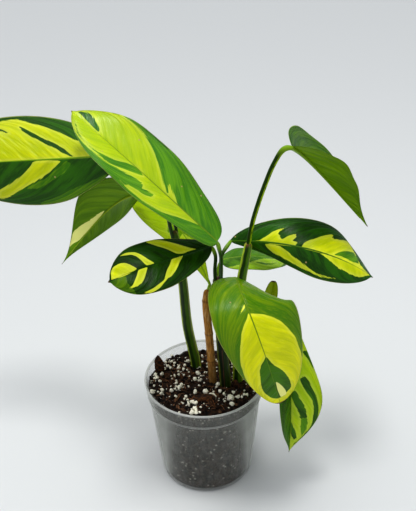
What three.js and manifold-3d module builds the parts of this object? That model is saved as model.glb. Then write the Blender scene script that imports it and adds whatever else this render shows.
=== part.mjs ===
// A potted ctenanthe lubbersiana in millimetres, +Z up.
// The origin is the middle of the pot's underside, where the pot stands.
// The view that the leaves are arranged for looks along +Y, with +X to the right.
import * as THREE from "three";
import { mergeVertices } from "three/addons/utils/BufferGeometryUtils.js";
import Module from "manifold-3d";

const wasm = await Module();
wasm.setup();

// Sizes of the pot: a thin clear nursery pot of 10.5 cm
const potHeight = 100;
const potWall = 1.2;
const rimRadius = 52.5;
const rimBandHeight = 15;
const rimBandBottomRadius = 50.6;
const shoulderRadius = 49.2;
const shoulderStep = 1.2;
const baseRadius = 41.5;
const baseCornerRadius = 3;
const lipHeight = 1.6;
const lipOverhang = 0.7;
const lipEdge = 0.3;
const cornerSteps = 3;
const potSides = 48;
const drainHoles = 6;
const drainHoleRadius = 4;
const drainHoleCircle = 25;
const drainHoleSides = 16;

// The gap between pieces that touch
const gap = 0.3;

// Sizes of the potting mix, with grains of perlite and chips of bark in its top
const soilWallGap = 0.36;
const soilLevel = 93.5;
const soilSlope = -0.06;
const soilLump = 1.2;
const lumpLength = [6, 5];
const smallLump = 0.6;
const smallLumpLength = 3.7;
const soilRings = 7;
const soilEdgeDrop = 0.5;
const grainCount = 60;
const grainSeed = 20251;
const grainRadius = [1.2, 2.6];
const grainSquash = [1, 0.8, 0.9];
const grainMargin = 3.5;
const chipCount = 12;
const chipSeed = 4711;
const chipLength = [4, 9];
const chipWidthShare = 0.45;
const chipThickness = 2.4;
const chipTilt = [-0.25, 0.25];
const chipMargin = 6;
const liftAboveMix = 0.3;

// Large chips of bark. The standing ones are plates with a pointed top.
const standingChips = [
  { at: [-40.5, 17.5], width: 9, height: 18, thickness: 3, turn: 0 },
  { at: [27, -9.5], width: 6, height: 9, thickness: 2.5, turn: -0.3 },
];
const lyingChip = { at: [-2, -26], size: [21, 8, 4], turn: 0.15 };

// Sizes of the leaves and stems
const bladeThickness = 0.8;
const bladeRows = 14;
const bladeColumns = 3;
const rippleTurn = 17;
const rippleSlant = 2;
const midribEnd = 0.9;
const midribBaseShare = 0.85;
const midribTipRadius = 0.5;
const midribSink = 0.6;
const ribSteps = 8;
const stepsPerPoint = 3;
const tubeSides = 6;
const stemSides = 9;
const rootedDepth = 34;

// The stems that rise from the mix, each a route of points with the radius at each.
const stems = [
  {
    name: "stem_left",
    color: 0x4f8a1c,
    route: [[-7, 22, 93], [-13, 18, 142], [-15, 15, 189], [-18, 11, 227], [-20, 10, 241]],
    radii: [4.5, 4.4, 4, 3.5, 3],
  },
  {
    name: "cane_dry",
    color: 0x8a6238,
    route: [[7.5, -2, 93], [5.5, 0, 144], [4, 2, 176], [5.5, 4, 188]],
    radii: [3.4, 3.3, 3.2, 3],
  },
  {
    name: "stem_middle",
    color: 0x2c4a18,
    route: [[18.5, -7, 93], [16, -7, 144], [14.5, -6, 184], [14.5, -6, 206]],
    radii: [4.8, 4.7, 4.6, 4.7],
  },
  {
    name: "stem_right",
    color: 0x3f6d18,
    route: [[29.5, 0, 93], [30, -1, 146], [33, -3, 200], [36, -5, 220], [38.7, -7, 238]],
    radii: [4.4, 4.2, 3.9, 3.6, 3.1],
  },
];

// The leaves. A midrib is a cubic curve from the blade's base through two handles to the tip.
// faceBase and faceTip are the ways that the upper face looks there. left and right are the half
// widths, seen from the upper face with the tip ahead, and widest is how far along the blade is
// widest. baseEnd and tipEnd shape the two ends: small is blunt, large is pointed. fold lifts the
// halves from the midrib, and droop bends each half back down towards its edge, in degrees.
// petiole is the stalk's route up to the base, and holder is the stem that it stands in.
const leaves = [
  {
    name: "leaf_high_left",
    holder: "stem_middle",
    color: 0x8fc61a,
    petiole: [[16.8, -7.6, 196], [16.4, -7.8, 212], [16.8, -10, 226]],
    petioleRadius: 1.5,
    midrib: [[14, -16, 245], [-29, -10, 290], [-65, 5, 322], [-93, 30, 336]],
    faceBase: [0.25, -0.4, 0.9],
    faceTip: [0.15, -0.45, 0.9],
    left: 28,
    right: 29,
    widest: 0.5,
    baseEnd: 0.35,
    tipEnd: 0.75,
    fold: 21,
    droop: 8,
    wave: 1,
  },
  {
    name: "leaf_dark_left",
    holder: "stem_middle",
    color: 0x174f0c,
    petiole: [[12.2, -7.2, 196], [11.6, -7, 212], [12.4, -5.5, 226]],
    petioleRadius: 1.4,
    midrib: [[9, -8, 237], [-23, -30, 238], [-50, -43, 239], [-68, -47, 231]],
    faceBase: [-0.05, -0.55, 0.85],
    faceTip: [-0.2, -0.6, 0.8],
    left: 22,
    right: 22.5,
    widest: 0.54,
    baseEnd: 0.45,
    tipEnd: 0.6,
    fold: 5,
    droop: 20,
    wave: 0.5,
  },
  {
    name: "leaf_front",
    holder: "stem_right",
    color: 0x5da31a,
    petiole: [[30.2, -4, 168], [27.6, -6, 182], [26.4, -5, 198]],
    petioleRadius: 1.5,
    midrib: [[28, -13, 210], [29, -60, 228], [44, -77, 198], [60, -64, 123]],
    faceBase: [0.2, -0.15, 0.95],
    faceTip: [0.15, -1, 0.15],
    left: 42,
    right: 29,
    widest: 0.47,
    baseEnd: 0.3,
    tipEnd: 0.4,
    fold: -5,
    droop: 22,
    wave: 0.8,
  },
  {
    name: "leaf_low_right",
    holder: "stem_right",
    color: 0x7db018,
    petiole: [[31.5, 0.5, 142], [37, 1.5, 156], [48, 1, 168], [60, 0, 174]],
    petioleRadius: 1.4,
    midrib: [[67, -4, 171], [71, -24, 140], [75, -35, 96], [72, -36, 41]],
    faceBase: [0.25, -0.65, 0.7],
    faceTip: [0.45, -0.8, 0.4],
    left: 26,
    right: 23,
    widest: 0.63,
    baseEnd: 0.4,
    tipEnd: 1.4,
    fold: 36,
    droop: 1,
    wave: 0.6,
  },
  {
    name: "leaf_folded_right",
    holder: "stem_right",
    color: 0x3f7d12,
    petiole: [
      [37.5, -6.1, 229], [39.1, -7.4, 242], [41, -9, 255], [45, -12, 273], [50, -16, 292],
      [56, -22, 312], [62, -26, 324],
    ],
    petioleRadius: 1.8,
    midrib: [[68, -26, 326], [83, 8, 305], [104, 18, 274], [133, 5, 242]],
    faceBase: [0.55, 0.2, 0.85],
    faceTip: [0.75, 0.15, 0.65],
    left: 30,
    right: 29,
    widest: 0.46,
    baseEnd: 0.55,
    tipEnd: 1.1,
    fold: 38,
    droop: 11,
    wave: 0.8,
  },
  {
    name: "leaf_dark_right",
    holder: "stem_middle",
    color: 0x1f5c10,
    petiole: [[15.8, -3, 196], [17, -2.2, 209], [17.2, 1, 221]],
    petioleRadius: 1.4,
    midrib: [[25, 11, 229], [70, -13, 243], [109, -27, 237], [136, -15, 207]],
    faceBase: [0, -0.95, 0.15],
    faceTip: [0.15, -0.45, 0.85],
    left: 28,
    right: 21,
    widest: 0.58,
    baseEnd: 0.5,
    tipEnd: 0.65,
    fold: -12,
    droop: 24,
    wave: 0.6,
  },
  {
    name: "leaf_small_behind",
    holder: "stem_middle",
    color: 0x6aa01c,
    petiole: [[15, -2, 172], [14.6, 4, 190], [14.8, 11, 204]],
    petioleRadius: 1.2,
    midrib: [[18, 16, 209], [37, 15, 214], [57, 23, 208], [75, 35, 192]],
    faceBase: [-0.1, -0.1, 1],
    faceTip: [0.05, -0.1, 1],
    left: 15.5,
    right: 17.5,
    widest: 0.45,
    baseEnd: 0.35,
    tipEnd: 0.85,
    fold: 0,
    droop: 13,
    wave: 0.4,
  },
  {
    name: "leaf_lime_behind",
    holder: "cane_dry",
    color: 0x9cc41c,
    petiole: [[5, 3, 176], [5.8, 4.2, 185]],
    petioleRadius: 1.3,
    midrib: [[7, 5, 192], [-7, 31, 223], [-32, 52, 250], [-65, 64, 273]],
    faceBase: [-0.4, -0.8, 0.45],
    faceTip: [-0.3, -0.8, 0.55],
    left: 20.5,
    right: 19,
    widest: 0.65,
    baseEnd: 0.6,
    tipEnd: 0.95,
    fold: 10,
    droop: 8,
    wave: 0.5,
  },
  {
    name: "leaf_hanging_left",
    holder: "stem_left",
    color: 0x4a6b1a,
    petiole: [[-17.2, 12.2, 230], [-18.6, 12.2, 244], [-22, 12.5, 257], [-29, 13, 268]],
    petioleRadius: 1.3,
    midrib: [[-37, 16, 271], [-62, 33, 268], [-81, 33, 244], [-114, 18, 208]],
    faceBase: [-0.15, 0.7, 0.7],
    faceTip: [-0.05, 1, 0.05],
    left: 27,
    right: 25.5,
    widest: 0.44,
    baseEnd: 0.65,
    tipEnd: 1.6,
    fold: 22,
    droop: 2,
    wave: 0.8,
  },
  {
    name: "leaf_wide_left",
    holder: "stem_left",
    color: 0x86b41c,
    petiole: [[-20, 8.6, 230], [-22.6, 8, 246], [-26, 8, 272], [-33, 9, 294], [-41, 11, 304]],
    petioleRadius: 1.5,
    midrib: [[-50, 14, 306], [-98, 34, 295], [-154, 41, 292], [-217, 33, 292]],
    faceBase: [0, -0.65, 0.75],
    faceTip: [0, -1, 0.1],
    left: 38,
    right: 38,
    widest: 0.54,
    baseEnd: 0.8,
    tipEnd: 0.45,
    fold: -9,
    droop: 21,
    wave: 1,
  },
  {
    name: "leaf_rolled_right",
    holder: "stem_right",
    color: 0x8a9a2a,
    petiole: [[31.5, 1.2, 126], [38, 5, 133], [45.5, 8, 143]],
    petioleRadius: 1.2,
    midrib: [[50.5, 10, 153], [56.5, 8, 165], [59.5, 12, 175], [61.5, 21, 183]],
    faceBase: [-0.1, -0.85, 0.55],
    faceTip: [-0.1, -0.75, 0.65],
    left: 7.5,
    right: 6.5,
    widest: 0.55,
    baseEnd: 0.6,
    tipEnd: 0.4,
    fold: 34,
    droop: 0,
    wave: 0,
  },
];

// A seeded draw from 0 to 1, alike on every run
function seededDraw(seed) {
  let state = seed;
  return () => {
    state = (state * 16807) % 2147483647;
    return state / 2147483647;
  };
}

function vectors(points) {
  return points.map((p) => new THREE.Vector3(...p));
}

// Turns a closed three.js geometry into a solid that can be joined and cut.
function solidOf(geometry) {
  const bare = geometry.clone();
  bare.deleteAttribute("normal");
  bare.deleteAttribute("uv");
  const merged = mergeVertices(bare, 1e-4);
  return new wasm.Manifold(
    new wasm.Mesh({
      numProp: 3,
      vertProperties: Float32Array.from(merged.attributes.position.array),
      triVerts: Uint32Array.from(merged.index.array),
    }),
  );
}

// Turns a solid back into a geometry. Loose scraps that a cut leaves are dropped.
function geometryOf(solid) {
  const pieces = solid.decompose().sort((a, b) => b.volume() - a.volume());
  const mesh = pieces[0].getMesh();
  const geometry = new THREE.BufferGeometry();
  geometry.setAttribute("position", new THREE.BufferAttribute(mesh.vertProperties, 3));
  geometry.setIndex(new THREE.BufferAttribute(mesh.triVerts, 1));
  geometry.computeVertexNormals();
  return geometry;
}

function geometryFrom(points, triangles) {
  const geometry = new THREE.BufferGeometry();
  const flat = points.flatMap((p) => [p.x, p.y, p.z]);
  geometry.setAttribute("position", new THREE.Float32BufferAttribute(flat, 3));
  geometry.setIndex(triangles);
  return geometry;
}

// A tube with closed flat ends along a list of points. Its section is a regular polygon whose
// radius is given at each point, carried along without twisting.
function tube(points, radii, sides) {
  const last = points.length - 1;
  const vertices = [];
  const triangles = [];
  let across = new THREE.Vector3(1, 0, 0);
  points.forEach((point, i) => {
    const ahead = points[Math.min(i + 1, last)];
    const behind = points[Math.max(i - 1, 0)];
    const along = ahead.clone().sub(behind).normalize();
    across = across.clone().addScaledVector(along, -across.dot(along)).normalize();
    const other = along.clone().cross(across);
    for (let k = 0; k < sides; k += 1) {
      const turn = (2 * Math.PI * k) / sides;
      vertices.push(
        point.clone()
          .addScaledVector(across, radii[i] * Math.cos(turn))
          .addScaledVector(other, radii[i] * Math.sin(turn)),
      );
    }
  });
  for (let i = 0; i < last; i += 1) {
    for (let k = 0; k < sides; k += 1) {
      const a = i * sides + k;
      const b = i * sides + ((k + 1) % sides);
      triangles.push(a, b, b + sides, a, b + sides, a + sides);
    }
  }
  const start = vertices.push(points[0].clone()) - 1;
  const end = vertices.push(points[last].clone()) - 1;
  for (let k = 0; k < sides; k += 1) {
    const next = (k + 1) % sides;
    triangles.push(start, next, k, end, last * sides + k, last * sides + next);
  }
  return solidOf(geometryFrom(vertices, triangles));
}

// Interpolates a short list of values at a share of its length.
function valueAt(values, share) {
  const place = share * (values.length - 1);
  const i = Math.min(Math.floor(place), values.length - 2);
  return values[i] + (values[i + 1] - values[i]) * (place - i);
}

// A stem: a smooth curve through its route, continued straight down to its roots in the mix.
// grow makes it that much thicker and deeper, for the hole that it stands in.
function stemSolid(stem, grow) {
  const foot = stem.route[0];
  const rooted = [foot[0], foot[1], foot[2] - rootedDepth - grow];
  const curve = new THREE.CatmullRomCurve3(vectors([rooted, ...stem.route]));
  const radii = [stem.radii[0], ...stem.radii];
  const steps = stepsPerPoint * stem.route.length;
  const points = [];
  const sizes = [];
  for (let i = 0; i <= steps; i += 1) {
    points.push(curve.getPoint(i / steps));
    sizes.push(valueAt(radii, i / steps) + grow);
  }
  return tube(points, sizes, stemSides);
}

// The half width of a blade at a share t of its midrib, from 0 to 1 at its widest:
// the sine of half a turn, skewed to peak where the blade is widest, with its power
// running from baseEnd to tipEnd.
function bladeOutline(leaf, t) {
  const skew = Math.log(0.5) / Math.log(leaf.widest);
  const power = leaf.baseEnd + (leaf.tipEnd - leaf.baseEnd) * t;
  return Math.max(Math.sin(Math.PI * t ** skew), 0) ** power;
}

function radians(degrees) {
  return (degrees * Math.PI) / 180;
}

function midribCurve(leaf) {
  return new THREE.CubicBezierCurve3(...vectors(leaf.midrib));
}

// A point of the blade's middle sheet, and the way its face looks there. t runs along the
// midrib, and v across it, from -1 at the left edge to 1 at the right. Each half is an arc
// that starts at the fold's angle and turns by the droop's, with a ripple towards its edge.
function bladePoint(leaf, curve, t, v) {
  const along = curve.getTangent(t);
  const face = new THREE.Vector3(...leaf.faceBase).lerp(new THREE.Vector3(...leaf.faceTip), t);
  face.addScaledVector(along, -face.dot(along)).normalize();
  const side = along.clone().cross(face);
  const size = bladeOutline(leaf, t);
  const reach = (v < 0 ? leaf.left : leaf.right) * size;
  const share = Math.abs(v);
  const fold = radians(leaf.fold);
  const bend = radians(leaf.droop) || 0.001;
  const out = ((Math.sin(fold) - Math.sin(fold - bend * share)) / bend) * reach;
  const lift = ((Math.cos(fold - bend * share) - Math.cos(fold)) / bend) * reach;
  const phase = rippleTurn * t + rippleSlant * v;
  const ripple = leaf.wave * size * share ** 2 * Math.sin(phase);
  const tilt = v === 0 ? 0 : (fold - bend * share) * Math.sign(v);
  const point = curve.getPoint(t)
    .addScaledVector(side, out * Math.sign(v))
    .addScaledVector(face, lift + ripple);
  const normal = face.clone().multiplyScalar(Math.cos(tilt))
    .addScaledVector(side, -Math.sin(tilt));
  return { point, normal };
}

// The blade: two like sheets, an upper and a lower, closed along the edge and at both ends
function bladeSolid(leaf, curve) {
  const columns = 2 * bladeColumns + 1;
  const vertices = [];
  const triangles = [];
  const sheet = (sign) => {
    const first = vertices.length;
    const place = (t, v) => {
      const { point, normal } = bladePoint(leaf, curve, t, v);
      vertices.push(point.addScaledVector(normal, (sign * bladeThickness) / 2));
    };
    place(0, 0);
    for (let i = 1; i < bladeRows; i += 1) {
      const t = (1 - Math.cos((Math.PI * i) / bladeRows)) / 2;
      for (let j = 0; j < columns; j += 1) {
        place(t, j / bladeColumns - 1);
      }
    }
    place(1, 0);
    return first;
  };
  const upper = sheet(1);
  const lower = sheet(-1);
  const tip = 1 + (bladeRows - 1) * columns;
  const at = (i, j) => {
    if (i === 0) return 0;
    return i === bladeRows ? tip : 1 + (i - 1) * columns + j;
  };
  const face = (a, b, c) => {
    if (a === b || b === c || a === c) return;
    triangles.push(upper + a, upper + c, upper + b, lower + a, lower + b, lower + c);
  };
  for (let i = 0; i < bladeRows; i += 1) {
    for (let j = 0; j < columns - 1; j += 1) {
      face(at(i, j), at(i + 1, j), at(i + 1, j + 1));
      face(at(i, j), at(i + 1, j + 1), at(i, j + 1));
    }
    for (const [j, turned] of [[0, false], [columns - 1, true]]) {
      const a = at(i, j);
      const b = at(i + 1, j);
      const [from, to] = turned ? [b, a] : [a, b];
      triangles.push(upper + from, upper + to, lower + to);
      triangles.push(upper + from, lower + to, lower + from);
    }
  }
  return solidOf(geometryFrom(vertices, triangles));
}

// The stalk of a leaf, which runs on as the raised midrib under the blade. With grow it is the
// hole for the stalk alone, that much wider and deeper.
function stalkSolid(leaf, curve, grow) {
  const stalk = new THREE.CatmullRomCurve3([...vectors(leaf.petiole), curve.getPoint(0)]);
  const stalkSteps = stepsPerPoint * leaf.petiole.length;
  const points = [];
  const radii = [];
  for (let i = 0; i < stalkSteps; i += 1) {
    points.push(stalk.getPoint(i / stalkSteps));
    radii.push(leaf.petioleRadius + grow);
  }
  if (grow > 0) {
    const along = stalk.getTangent(0);
    points[0].addScaledVector(along, -grow);
    return tube(points, radii, tubeSides);
  }
  for (let i = 0; i <= ribSteps; i += 1) {
    const t = (midribEnd * i) / ribSteps;
    const { point, normal } = bladePoint(leaf, curve, t, 0);
    const thickest = leaf.petioleRadius * midribBaseShare;
    const radius = THREE.MathUtils.lerp(thickest, midribTipRadius, i / ribSteps);
    points.push(point.addScaledVector(normal, -midribSink * radius));
    radii.push(radius);
  }
  return tube(points, radii, tubeSides);
}

function leafSolid(leaf) {
  const curve = midribCurve(leaf);
  return bladeSolid(leaf, curve).add(stalkSolid(leaf, curve, 0));
}

// The outside of the pot, from the floor up, as radius and height
function potOutside() {
  const corner = baseCornerRadius;
  const profile = [];
  for (let i = 0; i <= cornerSteps; i += 1) {
    const turn = (Math.PI / 2) * (i / cornerSteps);
    profile.push([
      baseRadius - corner + corner * Math.sin(turn),
      corner - corner * Math.cos(turn),
    ]);
  }
  const bandBottom = potHeight - rimBandHeight;
  profile.push([shoulderRadius, bandBottom - shoulderStep]);
  profile.push([rimBandBottomRadius, bandBottom]);
  profile.push([rimRadius - lipOverhang, potHeight - lipHeight]);
  profile.push([rimRadius, potHeight - lipHeight / 2]);
  profile.push([rimRadius - lipEdge, potHeight]);
  return profile;
}

// The inside of the pot, from the rim down, one wall's thickness within the outside
function potInside() {
  const bandBottom = potHeight - rimBandHeight;
  return [
    [rimRadius - potWall - lipEdge, potHeight],
    [rimBandBottomRadius - potWall, bandBottom],
    [shoulderRadius - potWall, bandBottom - shoulderStep],
    [baseRadius - potWall, baseCornerRadius],
    [baseRadius - baseCornerRadius, potWall],
  ];
}

// Turns a shape whose axis is three.js's Y so that it stands along Z.
function upright(geometry) {
  return geometry.rotateX(Math.PI / 2);
}

// The pot: one turned wall and floor, with a circle of drainage holes
function potSolid() {
  const profile = [[0, 0], ...potOutside(), ...potInside(), [0, potWall]];
  const points = profile.map(([radius, height]) => new THREE.Vector2(radius, height));
  let pot = solidOf(upright(new THREE.LatheGeometry(points, potSides)));
  const [radius, depth] = [drainHoleRadius, 4 * potWall];
  for (let i = 0; i < drainHoles; i += 1) {
    const turn = (2 * Math.PI * (i + 0.5)) / drainHoles;
    const hole = upright(new THREE.CylinderGeometry(radius, radius, depth, drainHoleSides));
    hole.translate(drainHoleCircle * Math.cos(turn), drainHoleCircle * Math.sin(turn), 0);
    pot = pot.subtract(solidOf(hole));
  }
  return pot;
}

// The height of the mix: a slope that is highest at the front, with soft lumps
function soilHeight(x, y) {
  const large = Math.sin(x / lumpLength[0] + 1) * Math.cos(y / lumpLength[1]);
  const small = smallLump * Math.sin((x + y) / smallLumpLength);
  return soilLevel + soilSlope * y + soilLump * (large + small);
}

// The radius of the mix at a height, just inside the pot's wall
function soilRadius(height) {
  const inside = potInside();
  const upper = inside.findIndex((point, i) => i > 0 && height >= point[1]) - 1;
  const [[r0, h0], [r1, h1]] = [inside[upper], inside[upper + 1]];
  return r1 + ((r0 - r1) * (height - h1)) / (h0 - h1) - soilWallGap;
}

// The body of the mix: a round top made of rings, a side that follows the pot, a flat floor
function soilBody() {
  const vertices = [new THREE.Vector3(0, 0, soilHeight(0, 0))];
  const triangles = [];
  const ring = (radiusAt, heightAt) => {
    for (let k = 0; k < potSides; k += 1) {
      const turn = (2 * Math.PI * k) / potSides;
      const radius = radiusAt(turn);
      const [x, y] = [radius * Math.cos(turn), radius * Math.sin(turn)];
      vertices.push(new THREE.Vector3(x, y, heightAt(x, y)));
    }
  };
  const edgeRadius = (turn) => {
    const near = soilRadius(soilLevel);
    const height = soilHeight(near * Math.cos(turn), near * Math.sin(turn));
    return soilRadius(height - soilEdgeDrop);
  };
  for (let i = 1; i <= soilRings; i += 1) {
    ring((turn) => (edgeRadius(turn) * i) / soilRings, soilHeight);
  }
  const bandBottom = potHeight - rimBandHeight;
  const floorHeight = potWall + gap;
  const sideHeights = [
    bandBottom, bandBottom - shoulderStep, baseCornerRadius + gap, floorHeight,
  ];
  for (const height of sideHeights) {
    ring(() => soilRadius(height), () => height);
  }
  const rings = soilRings + sideHeights.length;
  for (let k = 0; k < potSides; k += 1) {
    const next = (k + 1) % potSides;
    triangles.push(0, 1 + k, 1 + next);
    for (let i = 0; i < rings - 1; i += 1) {
      const a = 1 + i * potSides;
      const b = a + potSides;
      triangles.push(a + k, b + k, b + next, a + k, b + next, a + next);
    }
  }
  const floor = vertices.push(new THREE.Vector3(0, 0, floorHeight)) - 1;
  const lastRing = 1 + (rings - 1) * potSides;
  for (let k = 0; k < potSides; k += 1) {
    triangles.push(floor, lastRing + ((k + 1) % potSides), lastRing + k);
  }
  return solidOf(geometryFrom(vertices, triangles));
}

function between(draw, [low, high]) {
  return low + (high - low) * draw();
}

// A place on the mix, clear of the pot's wall
function placeOnSoil(draw, margin) {
  const radius = (rimBandBottomRadius - potWall - margin) * Math.sqrt(draw());
  const turn = 2 * Math.PI * draw();
  return [radius * Math.cos(turn), radius * Math.sin(turn)];
}

// A piece turned to its heading and set on the mix, lifted a little or not at all
function settled(geometry, turn, [x, y], lift) {
  geometry.rotateZ(turn);
  geometry.translate(x, y, soilHeight(x, y) + lift);
  return solidOf(geometry);
}

// Grains of perlite, each an eight-sided bead sunk to its middle
function grains() {
  const draw = seededDraw(grainSeed);
  return Array.from({ length: grainCount }, () => {
    const at = placeOnSoil(draw, grainMargin);
    const bead = new THREE.OctahedronGeometry(between(draw, grainRadius));
    bead.scale(...grainSquash);
    bead.rotateX(draw());
    return settled(bead, 2 * Math.PI * draw(), at, liftAboveMix);
  });
}

// Small chips of bark, thin blocks lying on the mix
function smallChips() {
  const draw = seededDraw(chipSeed);
  return Array.from({ length: chipCount }, () => {
    const at = placeOnSoil(draw, chipMargin);
    const length = between(draw, chipLength);
    const chip = new THREE.BoxGeometry(length, length * chipWidthShare, chipThickness);
    chip.rotateX(between(draw, chipTilt));
    return settled(chip, 2 * Math.PI * draw(), at, liftAboveMix);
  });
}

// A plate of bark with a pointed top, that stands rooted a third of its height deep
function standingChipSolid({ at, width, height, thickness, turn }) {
  const half = width / 2;
  const outline = new THREE.Shape();
  outline.moveTo(-half, -height / 3);
  outline.lineTo(half, -height / 3);
  outline.lineTo(half, height * 0.4);
  outline.quadraticCurveTo(half * 0.8, height * 0.8, half * 0.1, height);
  outline.quadraticCurveTo(-half * 0.9, height * 0.8, -half, height * 0.35);
  const plate = new THREE.ExtrudeGeometry(outline, {
    depth: thickness,
    curveSegments: 3,
    bevelEnabled: false,
  });
  plate.translate(0, 0, -thickness / 2);
  return settled(upright(plate), turn, at, 0);
}

function largeChips() {
  const lying = new THREE.BoxGeometry(...lyingChip.size);
  return [
    ...standingChips.map(standingChipSolid),
    settled(lying, lyingChip.turn, lyingChip.at, liftAboveMix),
  ];
}

// The mix with all that is in its top, and a hole for each stem
function soilSolid() {
  let soil = soilBody();
  for (const piece of [...grains(), ...smallChips(), ...largeChips()]) {
    soil = soil.add(piece);
  }
  for (const stem of stems) {
    soil = soil.subtract(stemSolid(stem, gap));
  }
  return soil;
}

// A stem, with a socket for the stalk of each leaf that it holds
function stemWithSockets(stem) {
  let solid = stemSolid(stem, 0);
  for (const leaf of leaves.filter((one) => one.holder === stem.name)) {
    solid = solid.subtract(stalkSolid(leaf, midribCurve(leaf), gap));
  }
  return solid;
}

function part(name, solid, finish) {
  const material = new THREE.MeshStandardMaterial({ metalness: 0, ...finish });
  const mesh = new THREE.Mesh(geometryOf(solid), material);
  mesh.name = name;
  return mesh;
}

const pot = new THREE.Group();
const clearPlastic = { color: 0x8e9496, roughness: 0.35, transparent: true, opacity: 0.7 };
pot.add(part("pot", potSolid(), clearPlastic));
pot.add(part("soil", soilSolid(), { color: 0x2a211b, roughness: 0.95 }));

const foliage = new THREE.Group();
for (const stem of stems) {
  foliage.add(part(stem.name, stemWithSockets(stem), { color: stem.color, roughness: 0.5 }));
}
for (const leaf of leaves) {
  foliage.add(part(leaf.name, leafSolid(leaf), { color: leaf.color, roughness: 0.35 }));
}

const plant = new THREE.Group();
plant.add(pot, foliage);

export default plant;
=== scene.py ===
"""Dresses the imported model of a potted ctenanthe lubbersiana.

Shapes are worked out in millimetres in the frame's own axes, +Z up with the origin in the middle
of the pot's underside, and become metres when a mesh is made. The photograph's view looks along
+Y, with +X to the right.
"""

import math
from types import SimpleNamespace

import bpy
import numpy as np
from bpy.props import FloatProperty, FloatVectorProperty, IntProperty, PointerProperty
from bpy.types import Operator, Panel, PropertyGroup
from mathutils import Euler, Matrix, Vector


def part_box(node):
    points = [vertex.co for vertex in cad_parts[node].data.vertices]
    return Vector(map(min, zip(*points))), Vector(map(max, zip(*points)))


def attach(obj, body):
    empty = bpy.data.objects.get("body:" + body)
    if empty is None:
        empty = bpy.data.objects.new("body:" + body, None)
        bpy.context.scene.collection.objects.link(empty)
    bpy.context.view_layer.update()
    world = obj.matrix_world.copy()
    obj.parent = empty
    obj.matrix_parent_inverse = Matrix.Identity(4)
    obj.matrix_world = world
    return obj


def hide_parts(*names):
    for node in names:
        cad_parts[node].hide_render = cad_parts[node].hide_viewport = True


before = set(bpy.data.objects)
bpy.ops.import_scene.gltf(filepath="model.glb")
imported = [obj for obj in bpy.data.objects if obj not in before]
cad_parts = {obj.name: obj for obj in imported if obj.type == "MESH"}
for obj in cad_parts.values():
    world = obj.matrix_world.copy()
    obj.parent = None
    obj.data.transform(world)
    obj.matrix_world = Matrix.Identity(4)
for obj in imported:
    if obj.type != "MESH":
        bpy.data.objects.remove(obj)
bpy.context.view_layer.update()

bl_info = {
    "name": "Potted Ctenanthe",
    "version": (1, 0, 0),
    "blender": (4, 5, 0),
    "location": "View3D > Sidebar > Ctenanthe",
    "description": "Leaves, stems, potting mix and clear pot of a ctenanthe lubbersiana",
    "category": "Object",
}

BODY = "root"
MM = 0.001

# The pot's sizes: the rim and the height come from the frame
POT_HIGH = [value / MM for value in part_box("pot")[1]]
RIM_RADIUS = POT_HIGH[0]
POT_HEIGHT = POT_HIGH[2]
POT_WALL = 1.2
BAND_BOTTOM = POT_HEIGHT - 15
RIM_BAND_BOTTOM_RADIUS = 50.6
SHOULDER_RADIUS = 49.2
SHOULDER_STEP = 1.2
BASE_RADIUS = 41.5
BASE_CORNER_RADIUS = 3
LIP_HEIGHT = 1.6
LIP_OVERHANG = 0.7
DRAIN_HOLES = 6
DRAIN_HOLE_RADIUS = 4
DRAIN_HOLE_CIRCLE = 25

# The potting mix: its level, its slope towards the back and its soft lumps
SOIL_LEVEL = 93.5
SOIL_SLOPE = -0.06
SOIL_LUMP = 1.2
SOIL_WALL_GAP = 0.36
SOIL_FLOOR = POT_WALL + 0.3

# Bark that stands in the mix or lies on it, each a place, width, height or length, thickness, turn
STANDING_CHIPS = (
    dict(at=(-40.5, 17.5), width=9, height=18, thickness=3, turn=0),
    dict(at=(27, -9.5), width=6, height=9, thickness=2.5, turn=-0.3),
)
LYING_CHIP = dict(at=(-2, -26), width=8.5, length=22, thickness=5, turn=0.15)

# Places on the mix where perlite gathers, with how widely it scatters there
PERLITE_HEAPS = (
    ((-18, 15), 7), ((-6, 2), 5), ((-24, -6), 7), ((-40, -12), 5), ((-17, -27), 6),
    ((-7, -38), 6), ((8, -19), 6), ((18, -4), 5), ((19, -27), 6), ((29, -22), 6),
    ((-44, 4), 4), ((-30, 30), 6), ((36, 8), 6), ((10, 26), 8), ((-8, 36), 7), ((28, 24), 6),
)

# A grain of perlite with a larger radius than this gets more faces
LARGE_GRAIN = 1.1

# The stems: a route of points above their roots, the radius at each, and the turn of the edge
# where the outer sheath overlaps, in degrees from the right and against the clock from above.
# shadow scales a stem's greens: below 1 it darkens them as painted shade, as on the middle stem, and
# above 1 it lightens them as painted light
ROOTED_DEPTH = 34
STEMS = {
    "stem_left": dict(
        route=[(-7, 22, 93), (-13, 18, 142), (-15, 15, 189), (-18, 11, 227), (-20, 10, 241)],
        radii=[4.5, 4.4, 4, 3.5, 3],
        overlap=-62, shadow=0.95,
    ),
    "stem_middle": dict(
        route=[(18.5, -7, 93), (16, -7, 144), (14.5, -6, 184), (14.5, -6, 206)],
        radii=[4.8, 4.7, 4.6, 4.7],
        overlap=-110, shadow=0.25,
    ),
    "stem_right": dict(
        route=[(29.5, 0, 93), (30, -1, 146), (33, -3, 200), (36, -5, 220), (38.7, -7, 238)],
        radii=[4.4, 4.2, 3.9, 3.6, 3.1],
        overlap=-75, shadow=1.45,
    ),
}
CANE = dict(
    route=[(7.5, -2, 93), (5.5, 0, 144), (4, 2, 176), (5.5, 4, 188)],
    radii=[3.4, 3.3, 3.2, 3],
)
CANE_RINGS = (118, 146, 178)

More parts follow.
